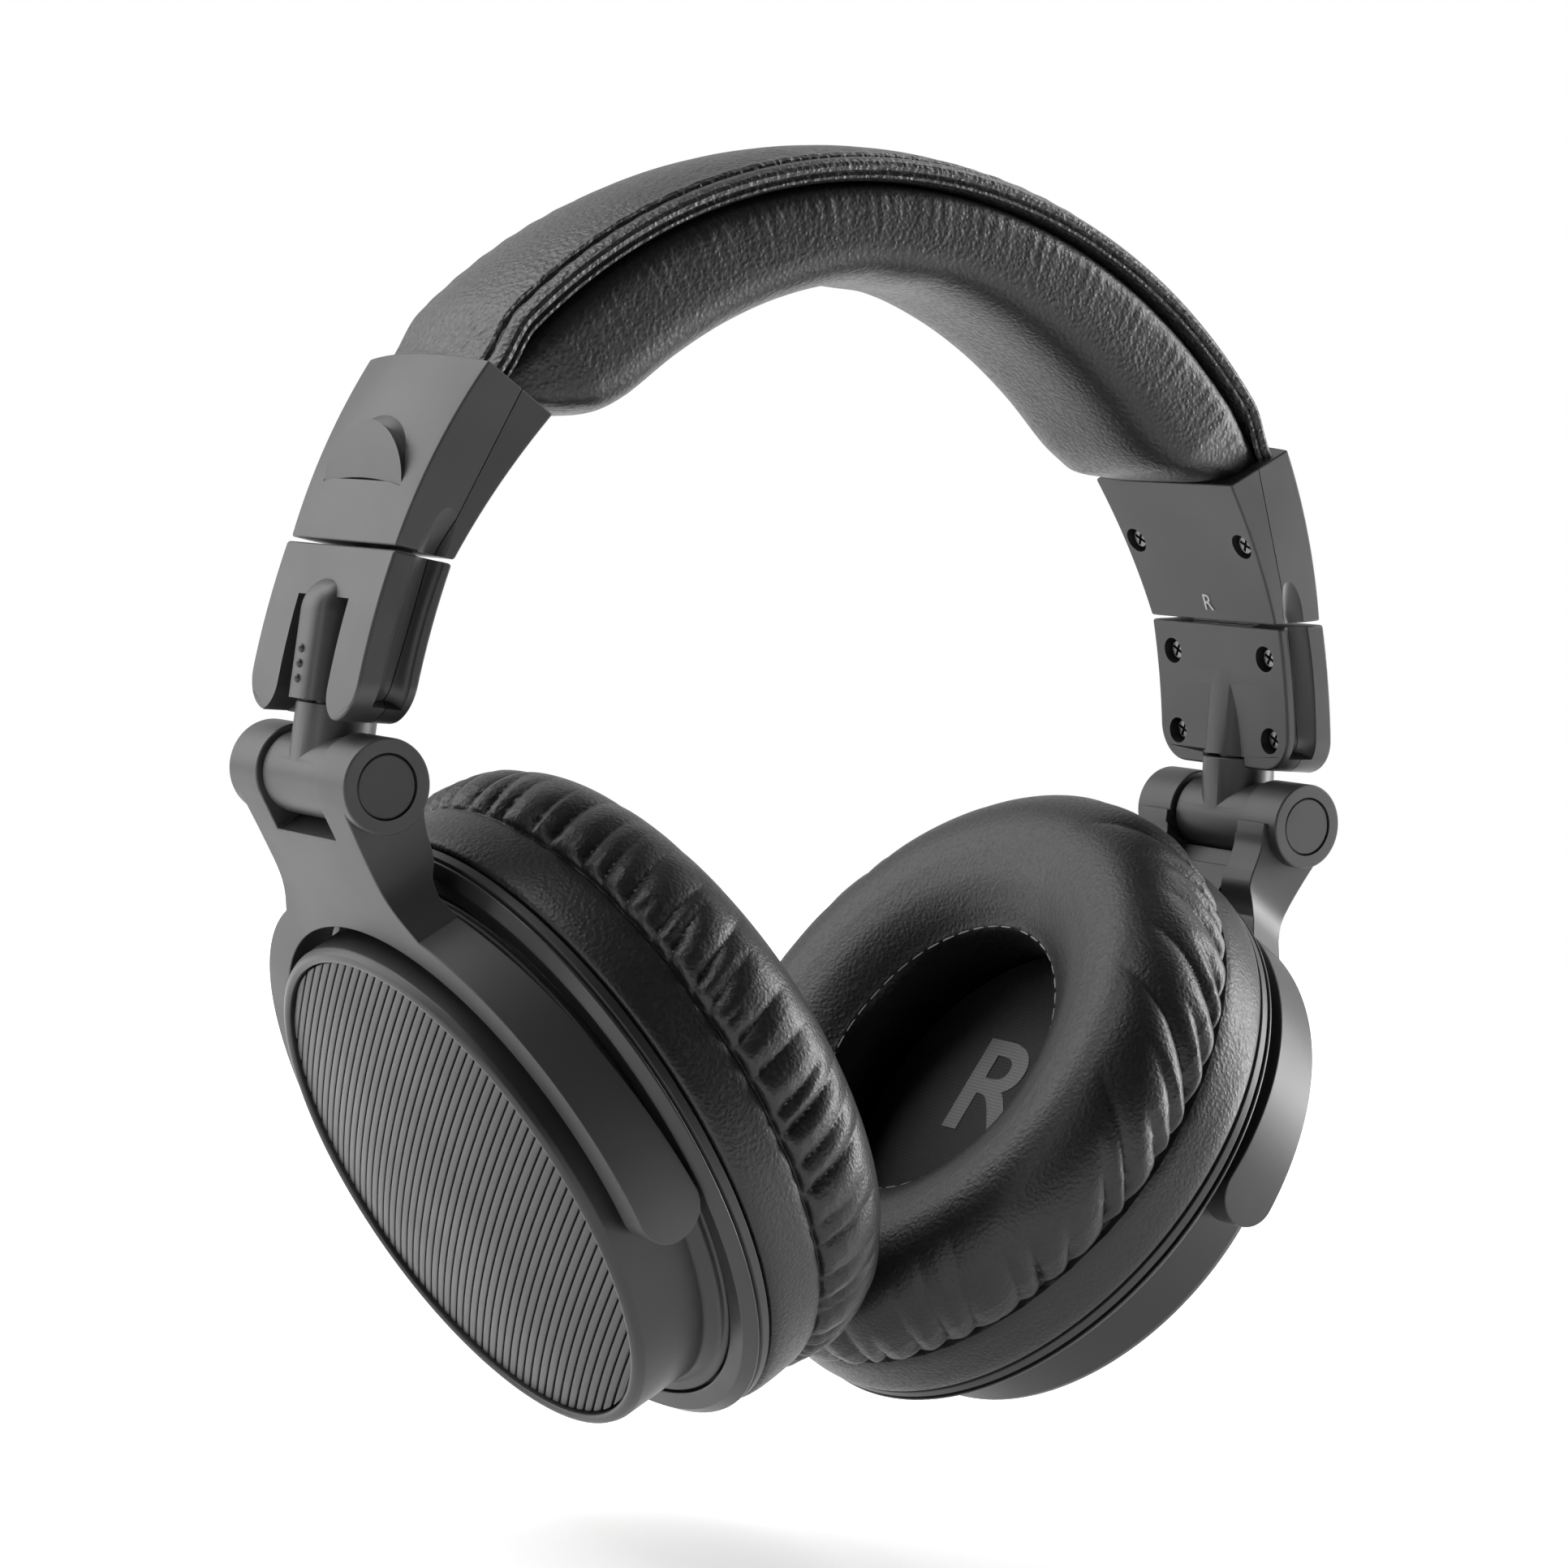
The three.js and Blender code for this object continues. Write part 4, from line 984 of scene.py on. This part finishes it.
def yoke():
    x, z = -HINGE_BEHIND_FACE, HINGE_ABOVE_CUP
    plate = combine(prism(yoke_front(), "x", -20, 0), ("INTERSECT", [prism(yoke_side(), "y", -50, 50)]))
    window = box((-20, 5), (-EAR_INNER_Y, EAR_INNER_Y), (NECK_TOP, 80))
    recess = box((-20, -9), (-RECESS_HALF_WIDTH, RECESS_HALF_WIDTH), (RECESS_BOTTOM, 70))
    barrel_space = rod((x, -EAR_INNER_Y, z), (x, EAR_INNER_Y, z), BARREL_R + GAP)
    plate = softened(combine(plate, ("DIFFERENCE", [window, recess, barrel_space])), 0.25, 40)
    seat_y = EAR_OUTER_Y - HINGE_HEAD_THICKNESS - GAP
    ears, head_seats = [], []
    for side in (-1, 1):
        ear = rod((x, side * EAR_INNER_Y, z), (x, side * EAR_OUTER_Y, z), EAR_R, segments=96)
        ears.append(softened(ear, 0.35))
        head_seats.append(rod((x, side * seat_y, z), (x, side * 30, z), HINGE_HEAD_R + 0.14))
    pin_bore = rod((x, -30, z), (x, 30, z), HINGE_PIN_R + GAP)
    pivot_bore = rod((-PIVOT_DEPTH, -43.6, 0), (-PIVOT_DEPTH, 43.6, 0), PIVOT_PIN_R + GAP)
    return combine(plate, ("UNION", ears), ("DIFFERENCE", [pin_bore, pivot_bore, *head_seats]))


def cover_plate():
    """The plate that closes the hollow behind the fork's neck."""
    plate = box((-10.6, -9.1), (-PLATE_HALF_WIDTH, PLATE_HALF_WIDTH), (PLATE_FOOT, NECK_TOP - 4))
    return softened(plate, 0.3)


# ---------------------------------------------------------------- ear cup


def rear_shell():
    inner = DRUM_R - 2
    profile = rounded([
        (0.01, 1.6),
        (36.45, 1.6),
        (36.55, -0.45),
        (37.2, -0.7),
        (38.0, -0.35),
        (DRUM_R - 0.1, 0.6),
        (DRUM_R + 0.05, 8.6),
        (38.6, 11.0),
        (39.9, FLANGE_DEPTH - 0.05),
        (41.4, FLANGE_DEPTH),
        (41.4, 14.2),
        (39.4, 14.2),
        (inner, 10.8),
        (inner, 3),
        (0.01, 3),
    ], 1.1, 5)
    pin_holes = rod((-PIVOT_DEPTH, -50, 0), (-PIVOT_DEPTH, 50, 0), PIVOT_PIN_R + GAP)
    bore = rod((-PIVOT_DEPTH, 0, -30), (-PIVOT_DEPTH, 0, -50), SOCKET_BORE_R)
    jack = moved(bore, Matrix.Rotation(math.radians(SOCKET_ANGLE), 4, "X"))
    return combine(revolve(profile, 192), ("DIFFERENCE", [pin_holes, jack]))


def dome(r):
    """Height of the ribbed plate's surface above the rim plane's zero, at a distance from its middle."""
    return PLATE_DOME * (1 - (r / PLATE_R) ** 2) - PLATE_EDGE


RIB_COUNT = 51
RIB_DIRECTION = math.radians(47.4)


def ribs():
    """Parallel rounded ribs that follow the domed plate and end at its round edge."""
    across = Vector((math.cos(RIB_DIRECTION), math.sin(RIB_DIRECTION)))
    along = Vector((-math.sin(RIB_DIRECTION), math.cos(RIB_DIRECTION)))
    pitch = 2 * PLATE_R / RIB_COUNT
    section = [(-0.41, -0.85), (-0.40, -0.12), (-0.34, -0.02), (-0.14, 0.03),
               (0.14, 0.03), (0.34, -0.02), (0.40, -0.12), (0.41, -0.85)]
    stations = 28
    bars = []
    for k in range(RIB_COUNT):
        offset = (k - (RIB_COUNT - 1) / 2) * pitch
        rows = []
        for i in range(stations):
            share = -1 + 2 * i / (stations - 1)
            row = []
            for shift, height in section:
                c = offset + shift * pitch
                reach = math.sqrt(max(PLATE_R ** 2 - c * c, 0.2))
                point = across * c + along * (reach * share)
                row.append((dome(point.length) + height, point.x, point.y))
            rows.append(row)
        bars.append(swept(rows))
    steps = np.linspace(0, PLATE_R, 14)
    base = [(r, -(dome(r) - 0.8)) for r in steps] + [(PLATE_R, 1.5), (0, 1.5)]
    return joined([revolve(base, ROUND), *bars])


def trim_ring():
    return revolve(rounded([
        (41.7, FLANGE_DEPTH), (44.4, FLANGE_DEPTH), (FLANGE_R, 13.95), (FLANGE_R, 14.3), (41.7, 14.3),
    ], 0.35), 192)


def baffle():
    return revolve(rounded([
        (22.8, 14.5), (45.3, 14.5), (45.85, 14.9), (45.85, 16.1), (45.4, 16.25), (22.8, 16.25),
    ], 0.2), 192)


# ---------------------------------------------------------------- ear pads

SEAM_DEPTH = 25.2
PAD_STATIONS = 960
INNER_STITCH = (22.75, 34.9)      # radius and depth of the light stitching inside the pad
# Each pad's pleats: how many, how far they lean in radians round the pad for each millimetre from the seam,
# and the least and most of their width, depth and reach. Pull is how far a pleat draws the seam in, and puff
# is how far the leather bulges over it.
PADS = {
    "left": {
        "seed": 7, "pleats": 60, "lean": 0.003, "width": (0.8, 1.3), "depth": (1.2, 2.2), "reach": (11, 21),
        "pull": (0.1, 0.3), "puff": 0.35, "seam_r": 45.3,
    },
    "right": {
        "seed": 11, "pleats": 52, "lean": 0.009, "width": (0.9, 1.5), "depth": (1.6, 2.9), "reach": (8, 22),
        "pull": (0.15, 0.35), "puff": 0.45, "seam_r": 45.0,
    },
}


def pad_profile(seam_r):
    """The pad's section as (radius, depth) points: lip, side, front, inner wall and back."""
    lip = through([(45.3, 16.5), (46.05, 16.9), (46.35, 18.5), (46.35, 21), (46.2, 23.6), (45.9, 24.7)], 4)
    seam = through([(45.9, 24.7), (seam_r, SEAM_DEPTH), (46.1, 25.7), (46.9, 26.9), (47.3, 29.2)], 6)[1:]
    front = through([
        (47.3, 29.2), (47.0, 32.4), (45.8, 35.8), (43.6, 38.6), (40.6, 40.6), (37, 41.3), (33, 40.9),
    ], 8)[1:]
    inside = through([
        (33, 40.9), (29, 39.6), (25.8, 37.6), (23.5, 35.6), INNER_STITCH, (22.3, 33.6), (22.1, 31),
        (22.8, 27.5), (24.6, 23.8), (27.6, 20.0),
    ], 4)[1:]
    return [*lip, *seam, *front, *inside, (28.6, 17.6), (30.5, 16.6)]


def valleys(rng, angles, above, centres, lean, width, depth, reach, start=3.0):
    """The depth of sharp-bottomed valleys that run up from the seam, each of its own size."""
    total = np.zeros((len(angles), len(above)))
    for centre in centres:
        slope = lean * (1 + 0.8 * math.cos(centre + 1)) * rng.uniform(0.7, 1.3)
        offset = (angles[:, None] - centre - slope * above[None, :] + math.pi) % (2 * math.pi) - math.pi
        spread = rng.uniform(*width) * (1 + 0.05 * np.clip(above, 0, 20))
        fade = np.clip(1 - above / rng.uniform(*reach), 0, 1) ** 1.2 * np.clip(above / start, 0, 1) ** 0.8
        total = np.maximum(total, rng.uniform(*depth) * fade * np.exp(-np.abs(offset) * FLANGE_R / spread))
    return total


def pad_shape(side):
    """The pad with its pleats gathered into the wavy side seam, pressed flat where it meets the other."""
    pad = PADS[side]
    rng = np.random.default_rng(pad["seed"])
    profile = np.array(pad_profile(pad["seam_r"]))
    angles = np.linspace(0, 2 * math.pi, PAD_STATIONS, endpoint=False)
    steps = np.linalg.norm(np.diff(profile, axis=0), axis=1)
    travel = np.concatenate([[0], np.cumsum(steps)])
    from_seam = np.hypot(profile[:, 0] - pad["seam_r"], profile[:, 1] - SEAM_DEPTH)
    above = travel - travel[int(np.argmin(from_seam))]
    ahead = np.gradient(profile, axis=0)
    ahead /= np.linalg.norm(ahead, axis=1)[:, None]
    outward = np.stack([ahead[:, 1], -ahead[:, 0]], -1)

    def slow_noise(scale, count=6):
        """The mean of a few sines round the pad, each with fewer turns than the scale."""
        waves = [np.sin(rng.integers(2, scale) * angles + rng.uniform(0, 6.3)) for _ in range(count)]
        return sum(waves)[:, None] / count

    count, lean = pad["pleats"], pad["lean"]
    centres = 2 * math.pi * (np.arange(count) + rng.uniform(-0.28, 0.28, count)) / count
    small = rng.uniform(0, 2 * math.pi, count)
    pleats = valleys(rng, angles, above, centres, lean, pad["width"], pad["depth"], pad["reach"])
    wrinkles = valleys(rng, angles, above, small, lean, (0.6, 1.0), (0.4, 0.9), (3, 8))
    puff = pad["puff"] * np.clip(above / 1.5, 0, 1) * np.clip(1 - above / 14, 0, 1)
    push = puff[None, :] - np.maximum(pleats, wrinkles)
    push = push + 0.2 * slow_noise(9) * np.clip((above - 12) / 8, 0, 1)[None, :]
    radius = profile[None, :, 0] + push * outward[None, :, 0]
    depth = profile[None, :, 1] + push * outward[None, :, 1]
    pull = valleys(rng, angles, np.full(1, 0.9), centres, 0, (1.0, 1.6), pad["pull"], (30, 40), 0.9)
    wave = 0.35 - pull + 0.25 * slow_noise(26)
    depth = depth + wave * np.exp(-(above / 1.5) ** 2)[None, :]
    turn = angles[:, None]
    points = np.stack([-depth, radius * np.sin(turn), radius * np.cos(turn)], -1).reshape(-1, 3)
    return pressed(closed_mesh(points.tolist(), grid_faces(PAD_STATIONS, len(profile))))


def pressed(mesh):
    """Flattens what would reach past the plane where the two pads meet, as foam gives way."""
    edge = 0.15                   # how far the pad stays from that plane
    softness = 0.5                # how gently it bends to it
    to_metres = CUP @ Matrix.Scale(MM, 4)
    back = to_metres.inverted()
    for vertex in mesh.vertices:
        world = to_metres @ vertex.co
        x = world.x / MM - edge
        if x < 4 * softness:
            world.x = MM * (edge + softness * math.log1p(math.exp(x / softness)))
            vertex.co = back @ world
    return mesh


def ring_path(radius, depth, wobble):
    """A slightly uneven ring round the cup's axis."""
    path = []
    for a in np.linspace(0, 2 * math.pi, 361):
        r = radius + wobble * math.sin(9 * a)
        path.append((-depth, r * math.sin(a), r * math.cos(a)))
    return path


def scrim():
    """The cloth disc over the driver, slightly domed."""
    top = [(r, 19.75 + 0.5 * (1 - (r / 27) ** 2)) for r in np.linspace(0, 27.6, 16)]
    return revolve([*top, (27.6, 19.2), (0, 19.2)], ROUND)


def letter(character, height, weight=0.0, width=1.0):
    """A plain capital letter as a thin raised mesh, lying in its own XY plane, centred."""
    text = bpy.data.curves.new("letter", "FONT")
    text.body = character
    text.align_x = "CENTER"
    text.align_y = "CENTER"
    text.size = height / 0.7
    text.extrude = 0.05
    text.offset = weight
    mesh = baked(new_object("letter", text))
    bpy.data.curves.remove(text)
    return moved(mesh, Matrix.Diagonal((width, 1, 1, 1)))


def place_letter(name, mesh, origin, out, up, body, material):
    """Puts a side letter upright on a surface that faces out, in metres, readable from outside it."""
    z, y = Vector(out).normalized(), Vector(up).normalized()
    x = y.cross(z)
    matrix = Matrix.Translation(origin) @ Matrix((x, y, z)).transposed().to_4x4() @ Matrix.Scale(MM, 4)
    mesh = moved(mesh, matrix)
    mesh.name = name
    paint(mesh, material)
    obj = new_object(name, mesh)
    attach(obj, body)


CLOTH_LETTER = {"height": 15.4, "weight": 0.35, "width": 1.22}
CLOTH_LETTER_PLACE = (-20.3, 0, 2)  # in the cup's frame
CLOTH_LETTER_SHIFT = 0.0031       # in metres along Y
HOUSING_LETTER = {"height": 2.6}
HOUSING_LETTER_PLACE = (-HOUSING_BOTTOM_DEPTH - 0.1, 0, 5.2)
INNER_FACE_SLOPE = 0.027          # of the housing's inner face, near its foot


def side_letters(side):
    """The side's initial on the cloth over the driver and on the inside of the housing."""
    initial = side[0].upper()
    mirror = Matrix.Diagonal((SIDES[side], 1, 1, 1))
    origin = mirror @ (CUP @ (MM * Vector(CLOTH_LETTER_PLACE)))
    origin.y = CLOTH_LETTER_SHIFT
    place_letter(
        f"{side}_cloth_letter", letter(initial, **CLOTH_LETTER), origin,
        -(mirror @ Vector(FACE_OUT)), mirror @ Vector(FACE_UP), f"{side}_cup", CLOTH_PRINT,
    )
    turn = HOUSING.to_3x3()
    origin = HOUSING @ (MM * Vector(HOUSING_LETTER_PLACE))
    out = (turn @ Vector((-1, 0, -INNER_FACE_SLOPE))).normalized()
    up = (turn @ Vector((-INNER_FACE_SLOPE, 0, 1))).normalized()
    place_letter(
        f"{side}_housing_letter", letter(initial, **HOUSING_LETTER), mirror @ origin,
        mirror @ out, mirror @ up, "headband", PALE_PRINT,
    )


# ---------------------------------------------------------------- assembly of one side


def flatten_with_tilt(piece):
    """Gives a soft piece a mesh of its own."""
    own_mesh(piece)


def build_sides():
    housing_outer, housing_inner = housing_shells()
    block_outer, block_inner = block_shells()
    housing_screw, block_screw = screw(HOUSING_SCREW_LENGTH), screw(BLOCK_SCREW_LENGTH)
    knuckle_shape, pin_shape, yoke_shape, inner_plate = knuckle(), hinge_pin(), yoke(), cover_plate()
    shell, plate, trim, carrier, cloth = rear_shell(), ribs(), trim_ring(), baffle(), scrim()
    stitch_ring = stitches(ring_path(INNER_STITCH[0] - 0.02, INNER_STITCH[1], 0.05), 2.2, 3.0, 0.14)
    dots = feel_dots()
    for side in SIDES:
        root, slider = "headband", f"{side}_slider"
        swivel, fork, cup = f"{side}_knuckle", f"{side}_yoke", f"{side}_cup"

        def put(name, shape, place, body, slot, node=None, **options):
            nodes = [f"{side}_{node}"] if node else []
            return deliver(f"{side}_{name}", shape, place, body, slot, nodes, side=side, **options)

        put("housing_outer_shell", housing_outer, HOUSING, root, "satin_plastic", "housing_outer")
        put("housing_inner_shell", housing_inner, HOUSING, root, "inner_plastic", "housing_inner")
        for i, (y, z) in enumerate(HOUSING_SCREWS, 1):
            place = HOUSING @ Matrix.Translation(MM * Vector((HOUSING_SCREW_X, y, z)))
            put(f"housing_cross_screw_{i}", housing_screw, place, root, "screw_steel", f"housing_screw_{i}")
        put("block_outer_shell", block_outer, HINGE, slider, "satin_plastic", "block_outer")
        put("block_inner_shell", block_inner, HINGE, slider, "inner_plastic", "block_inner")
        for i, (y, z) in enumerate(BLOCK_SCREWS, 1):
            place = block_screw_place(y, z)
            place.translation *= MM
            place = HINGE @ place
            put(f"block_cross_screw_{i}", block_screw, place, slider, "screw_steel", f"block_screw_{i}")
        put("knuckle_with_post", knuckle_shape, HINGE, swivel, "satin_plastic", "swivel_knuckle")
        put("yoke_fork", yoke_shape, CUP, fork, "satin_plastic", "yoke")
        put("yoke_cover_plate", inner_plate, CUP, fork, "inner_plastic", "yoke_inner_plate")
        put("fold_pin", pin_shape, CUP, fork, "inner_plastic", "hinge_pin")
        put("cup_shell", shell, CUP, cup, "cup_plastic", "cup_rear_shell")
        put("ribbed_disc", plate, CUP, cup, "rib_plastic", "ribbed_end_plate", facets=False)
        put("bevelled_trim", trim, CUP, cup, "trim_plastic", "trim_ring")
        put("pad_carrier", carrier, CUP, cup, "inner_plastic", "baffle")
        put("driver_cloth", cloth, CUP, cup, "scrim_fabric", "ear_scrim", facets=False)
        pad = put("soft_ear_pad", pad_shape(side), CUP, cup, "ear_pad_leather", "ear_pad", facets=False)
        stitching = put(
            "pad_stitches", stitch_ring, CUP, cup, "ear_pad_leather", material=STITCH, facets=False,
        )
        for piece in (pad, stitching):
            flatten_with_tilt(piece)
        if side == "left":
            put("feel_dots", dots, HINGE, slider, "satin_plastic")

        side_letters(side)


def finish_cad_nodes():
    """Gives the CAD pieces that stay on show their record's finish."""
    slots = {part["node"]: part["material_slot"] for part in frame["record"]["subparts"]}
    for name, node in NODES.items():
        paint(node.data, MATERIALS[slots[name]])
        shade(node)


# ---------------------------------------------------------------- studio


LIGHT_DISTANCE = 0.8              # in metres, from the middle of the object
LIGHTS = [                        # name, direction from the object, width and height in metres, watts
    ("left softbox", (-0.66, 0.62, 0.42), (0.8, 0.8), 5.5),
    ("right softbox", (0.95, -0.28, 0.1), (0.25, 0.9), 11),
    ("right rim light", (0.62, 0.2, 0.75), (0.3, 0.3), 1.2),
    ("left strip", (-0.96, -0.26, 0.12), (0.08, 0.9), 1.3),
    ("top softbox", (-0.45, 0.2, 0.87), (0.6, 0.4), 3.6),
]
FRONT_GLOW = 0.015                # how brightly the world lights the object from the camera's side
BACK_GLOW = 0.75                  # and from the far side


def soft_light(name, direction, size, power, target):
    light = bpy.data.lights.new(name, "AREA")
    light.shape = "RECTANGLE"
    light.size, light.size_y = size
    light.energy = power
    obj = new_object(name, light)
    way = Vector(direction).normalized()
    obj.location = target + way * LIGHT_DISTANCE
    obj.rotation_mode = "QUATERNION"
    obj.rotation_quaternion = way.to_track_quat("Z", "Y")


def measured(tree, coordinates, operation):
    """A node that measures the position or direction of each point."""
    node = tree.nodes.new("ShaderNodeVectorMath")
    node.operation = operation
    tree.links.new(tree.nodes.new("ShaderNodeTexCoord").outputs[coordinates], node.inputs[0])
    return node


def studio_world():
    """White to the camera. To the object it is bright behind and dim in front, as a lit paper sweep is."""
    world = bpy.data.worlds.new("pale studio")
    world.use_nodes = True
    tree = world.node_tree
    facing = measured(tree, "Generated", "DOT_PRODUCT")
    facing.inputs[1].default_value = BEHIND
    glow = mapped(tree, facing.outputs["Value"], FRONT_GLOW, BACK_GLOW, -0.1, 0.75)
    path = tree.nodes.new("ShaderNodeLightPath")
    strength = calculated(tree, "MAXIMUM", path.outputs["Is Camera Ray"], glow)
    background = tree.nodes["Background"].inputs
    tree.links.new(strength, background["Strength"])
    background["Color"].default_value = (1, 1, 1, 1)
    bpy.context.scene.world = world


def floor(height):
    """A pale round floor whose painted glow grows outward until it meets the white of the background."""
    bm = bmesh.new()
    bmesh.ops.create_circle(bm, cap_ends=True, segments=96, radius=FLOOR_R)
    mesh = bpy.data.meshes.new("floor")
    bm.to_mesh(mesh)
    bm.free()
    obj = new_object("floor", mesh)
    obj.location.z = height
    pale, tree = new_material("pale floor", (0.9, 0.9, 0.9), 0.9, emission_color=(1, 1, 1, 1))
    distance = measured(tree, "Object", "LENGTH")
    # painted light: the floor's glow grows with distance from its middle, standing in for a lit paper sweep
    glow = mapped(tree, distance.outputs["Value"], 0.3, 1.0, 0.1, FLOOR_R * 0.6)
    tree.links.new(glow, shader_inputs(tree)["Emission Strength"])
    paint(mesh, pale)


def studio():
    low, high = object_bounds()
    centre = (low + high) / 2
    bpy.context.scene.view_settings.view_transform = "Standard"
    studio_world()
    floor(low.z - FLOOR_DROP)
    for light in LIGHTS:
        soft_light(*light, centre)


CAMERA_TARGET = (-5.91, 0, -71.26)
CAMERA_DISTANCE = 586.5
CAMERA_AZIMUTH = -34.6            # in degrees, as are the next two
CAMERA_ELEVATION = 3.0
CAMERA_ROLL = 4.74
FOCAL_LENGTH = 94.3


def camera():
    """A long lens from behind the wearer's left side, a little above the cups, rolled slightly."""
    target = MM * Vector(CAMERA_TARGET)
    azimuth, elevation, roll = (math.radians(v) for v in (CAMERA_AZIMUTH, CAMERA_ELEVATION, CAMERA_ROLL))
    back = Vector((
        math.sin(azimuth) * math.cos(elevation),
        -math.cos(azimuth) * math.cos(elevation),
        math.sin(elevation),
    ))
    right = Vector((math.cos(azimuth), math.sin(azimuth), 0))
    up = back.cross(right)
    turned_right = right * math.cos(roll) + up * math.sin(roll)
    turned_up = -right * math.sin(roll) + up * math.cos(roll)
    lens = bpy.data.cameras.new("camera")
    lens.lens = FOCAL_LENGTH
    lens.sensor_width = 36
    lens.clip_start, lens.clip_end = 0.01, 50
    obj = new_object("camera", lens)
    axes = Matrix((turned_right, turned_up, back)).transposed().to_4x4()
    obj.matrix_world = Matrix.Translation(target + back * (CAMERA_DISTANCE * MM)) @ axes
    bpy.context.scene.camera = obj


finish_cad_nodes()
headband()
build_sides()
studio()
camera()
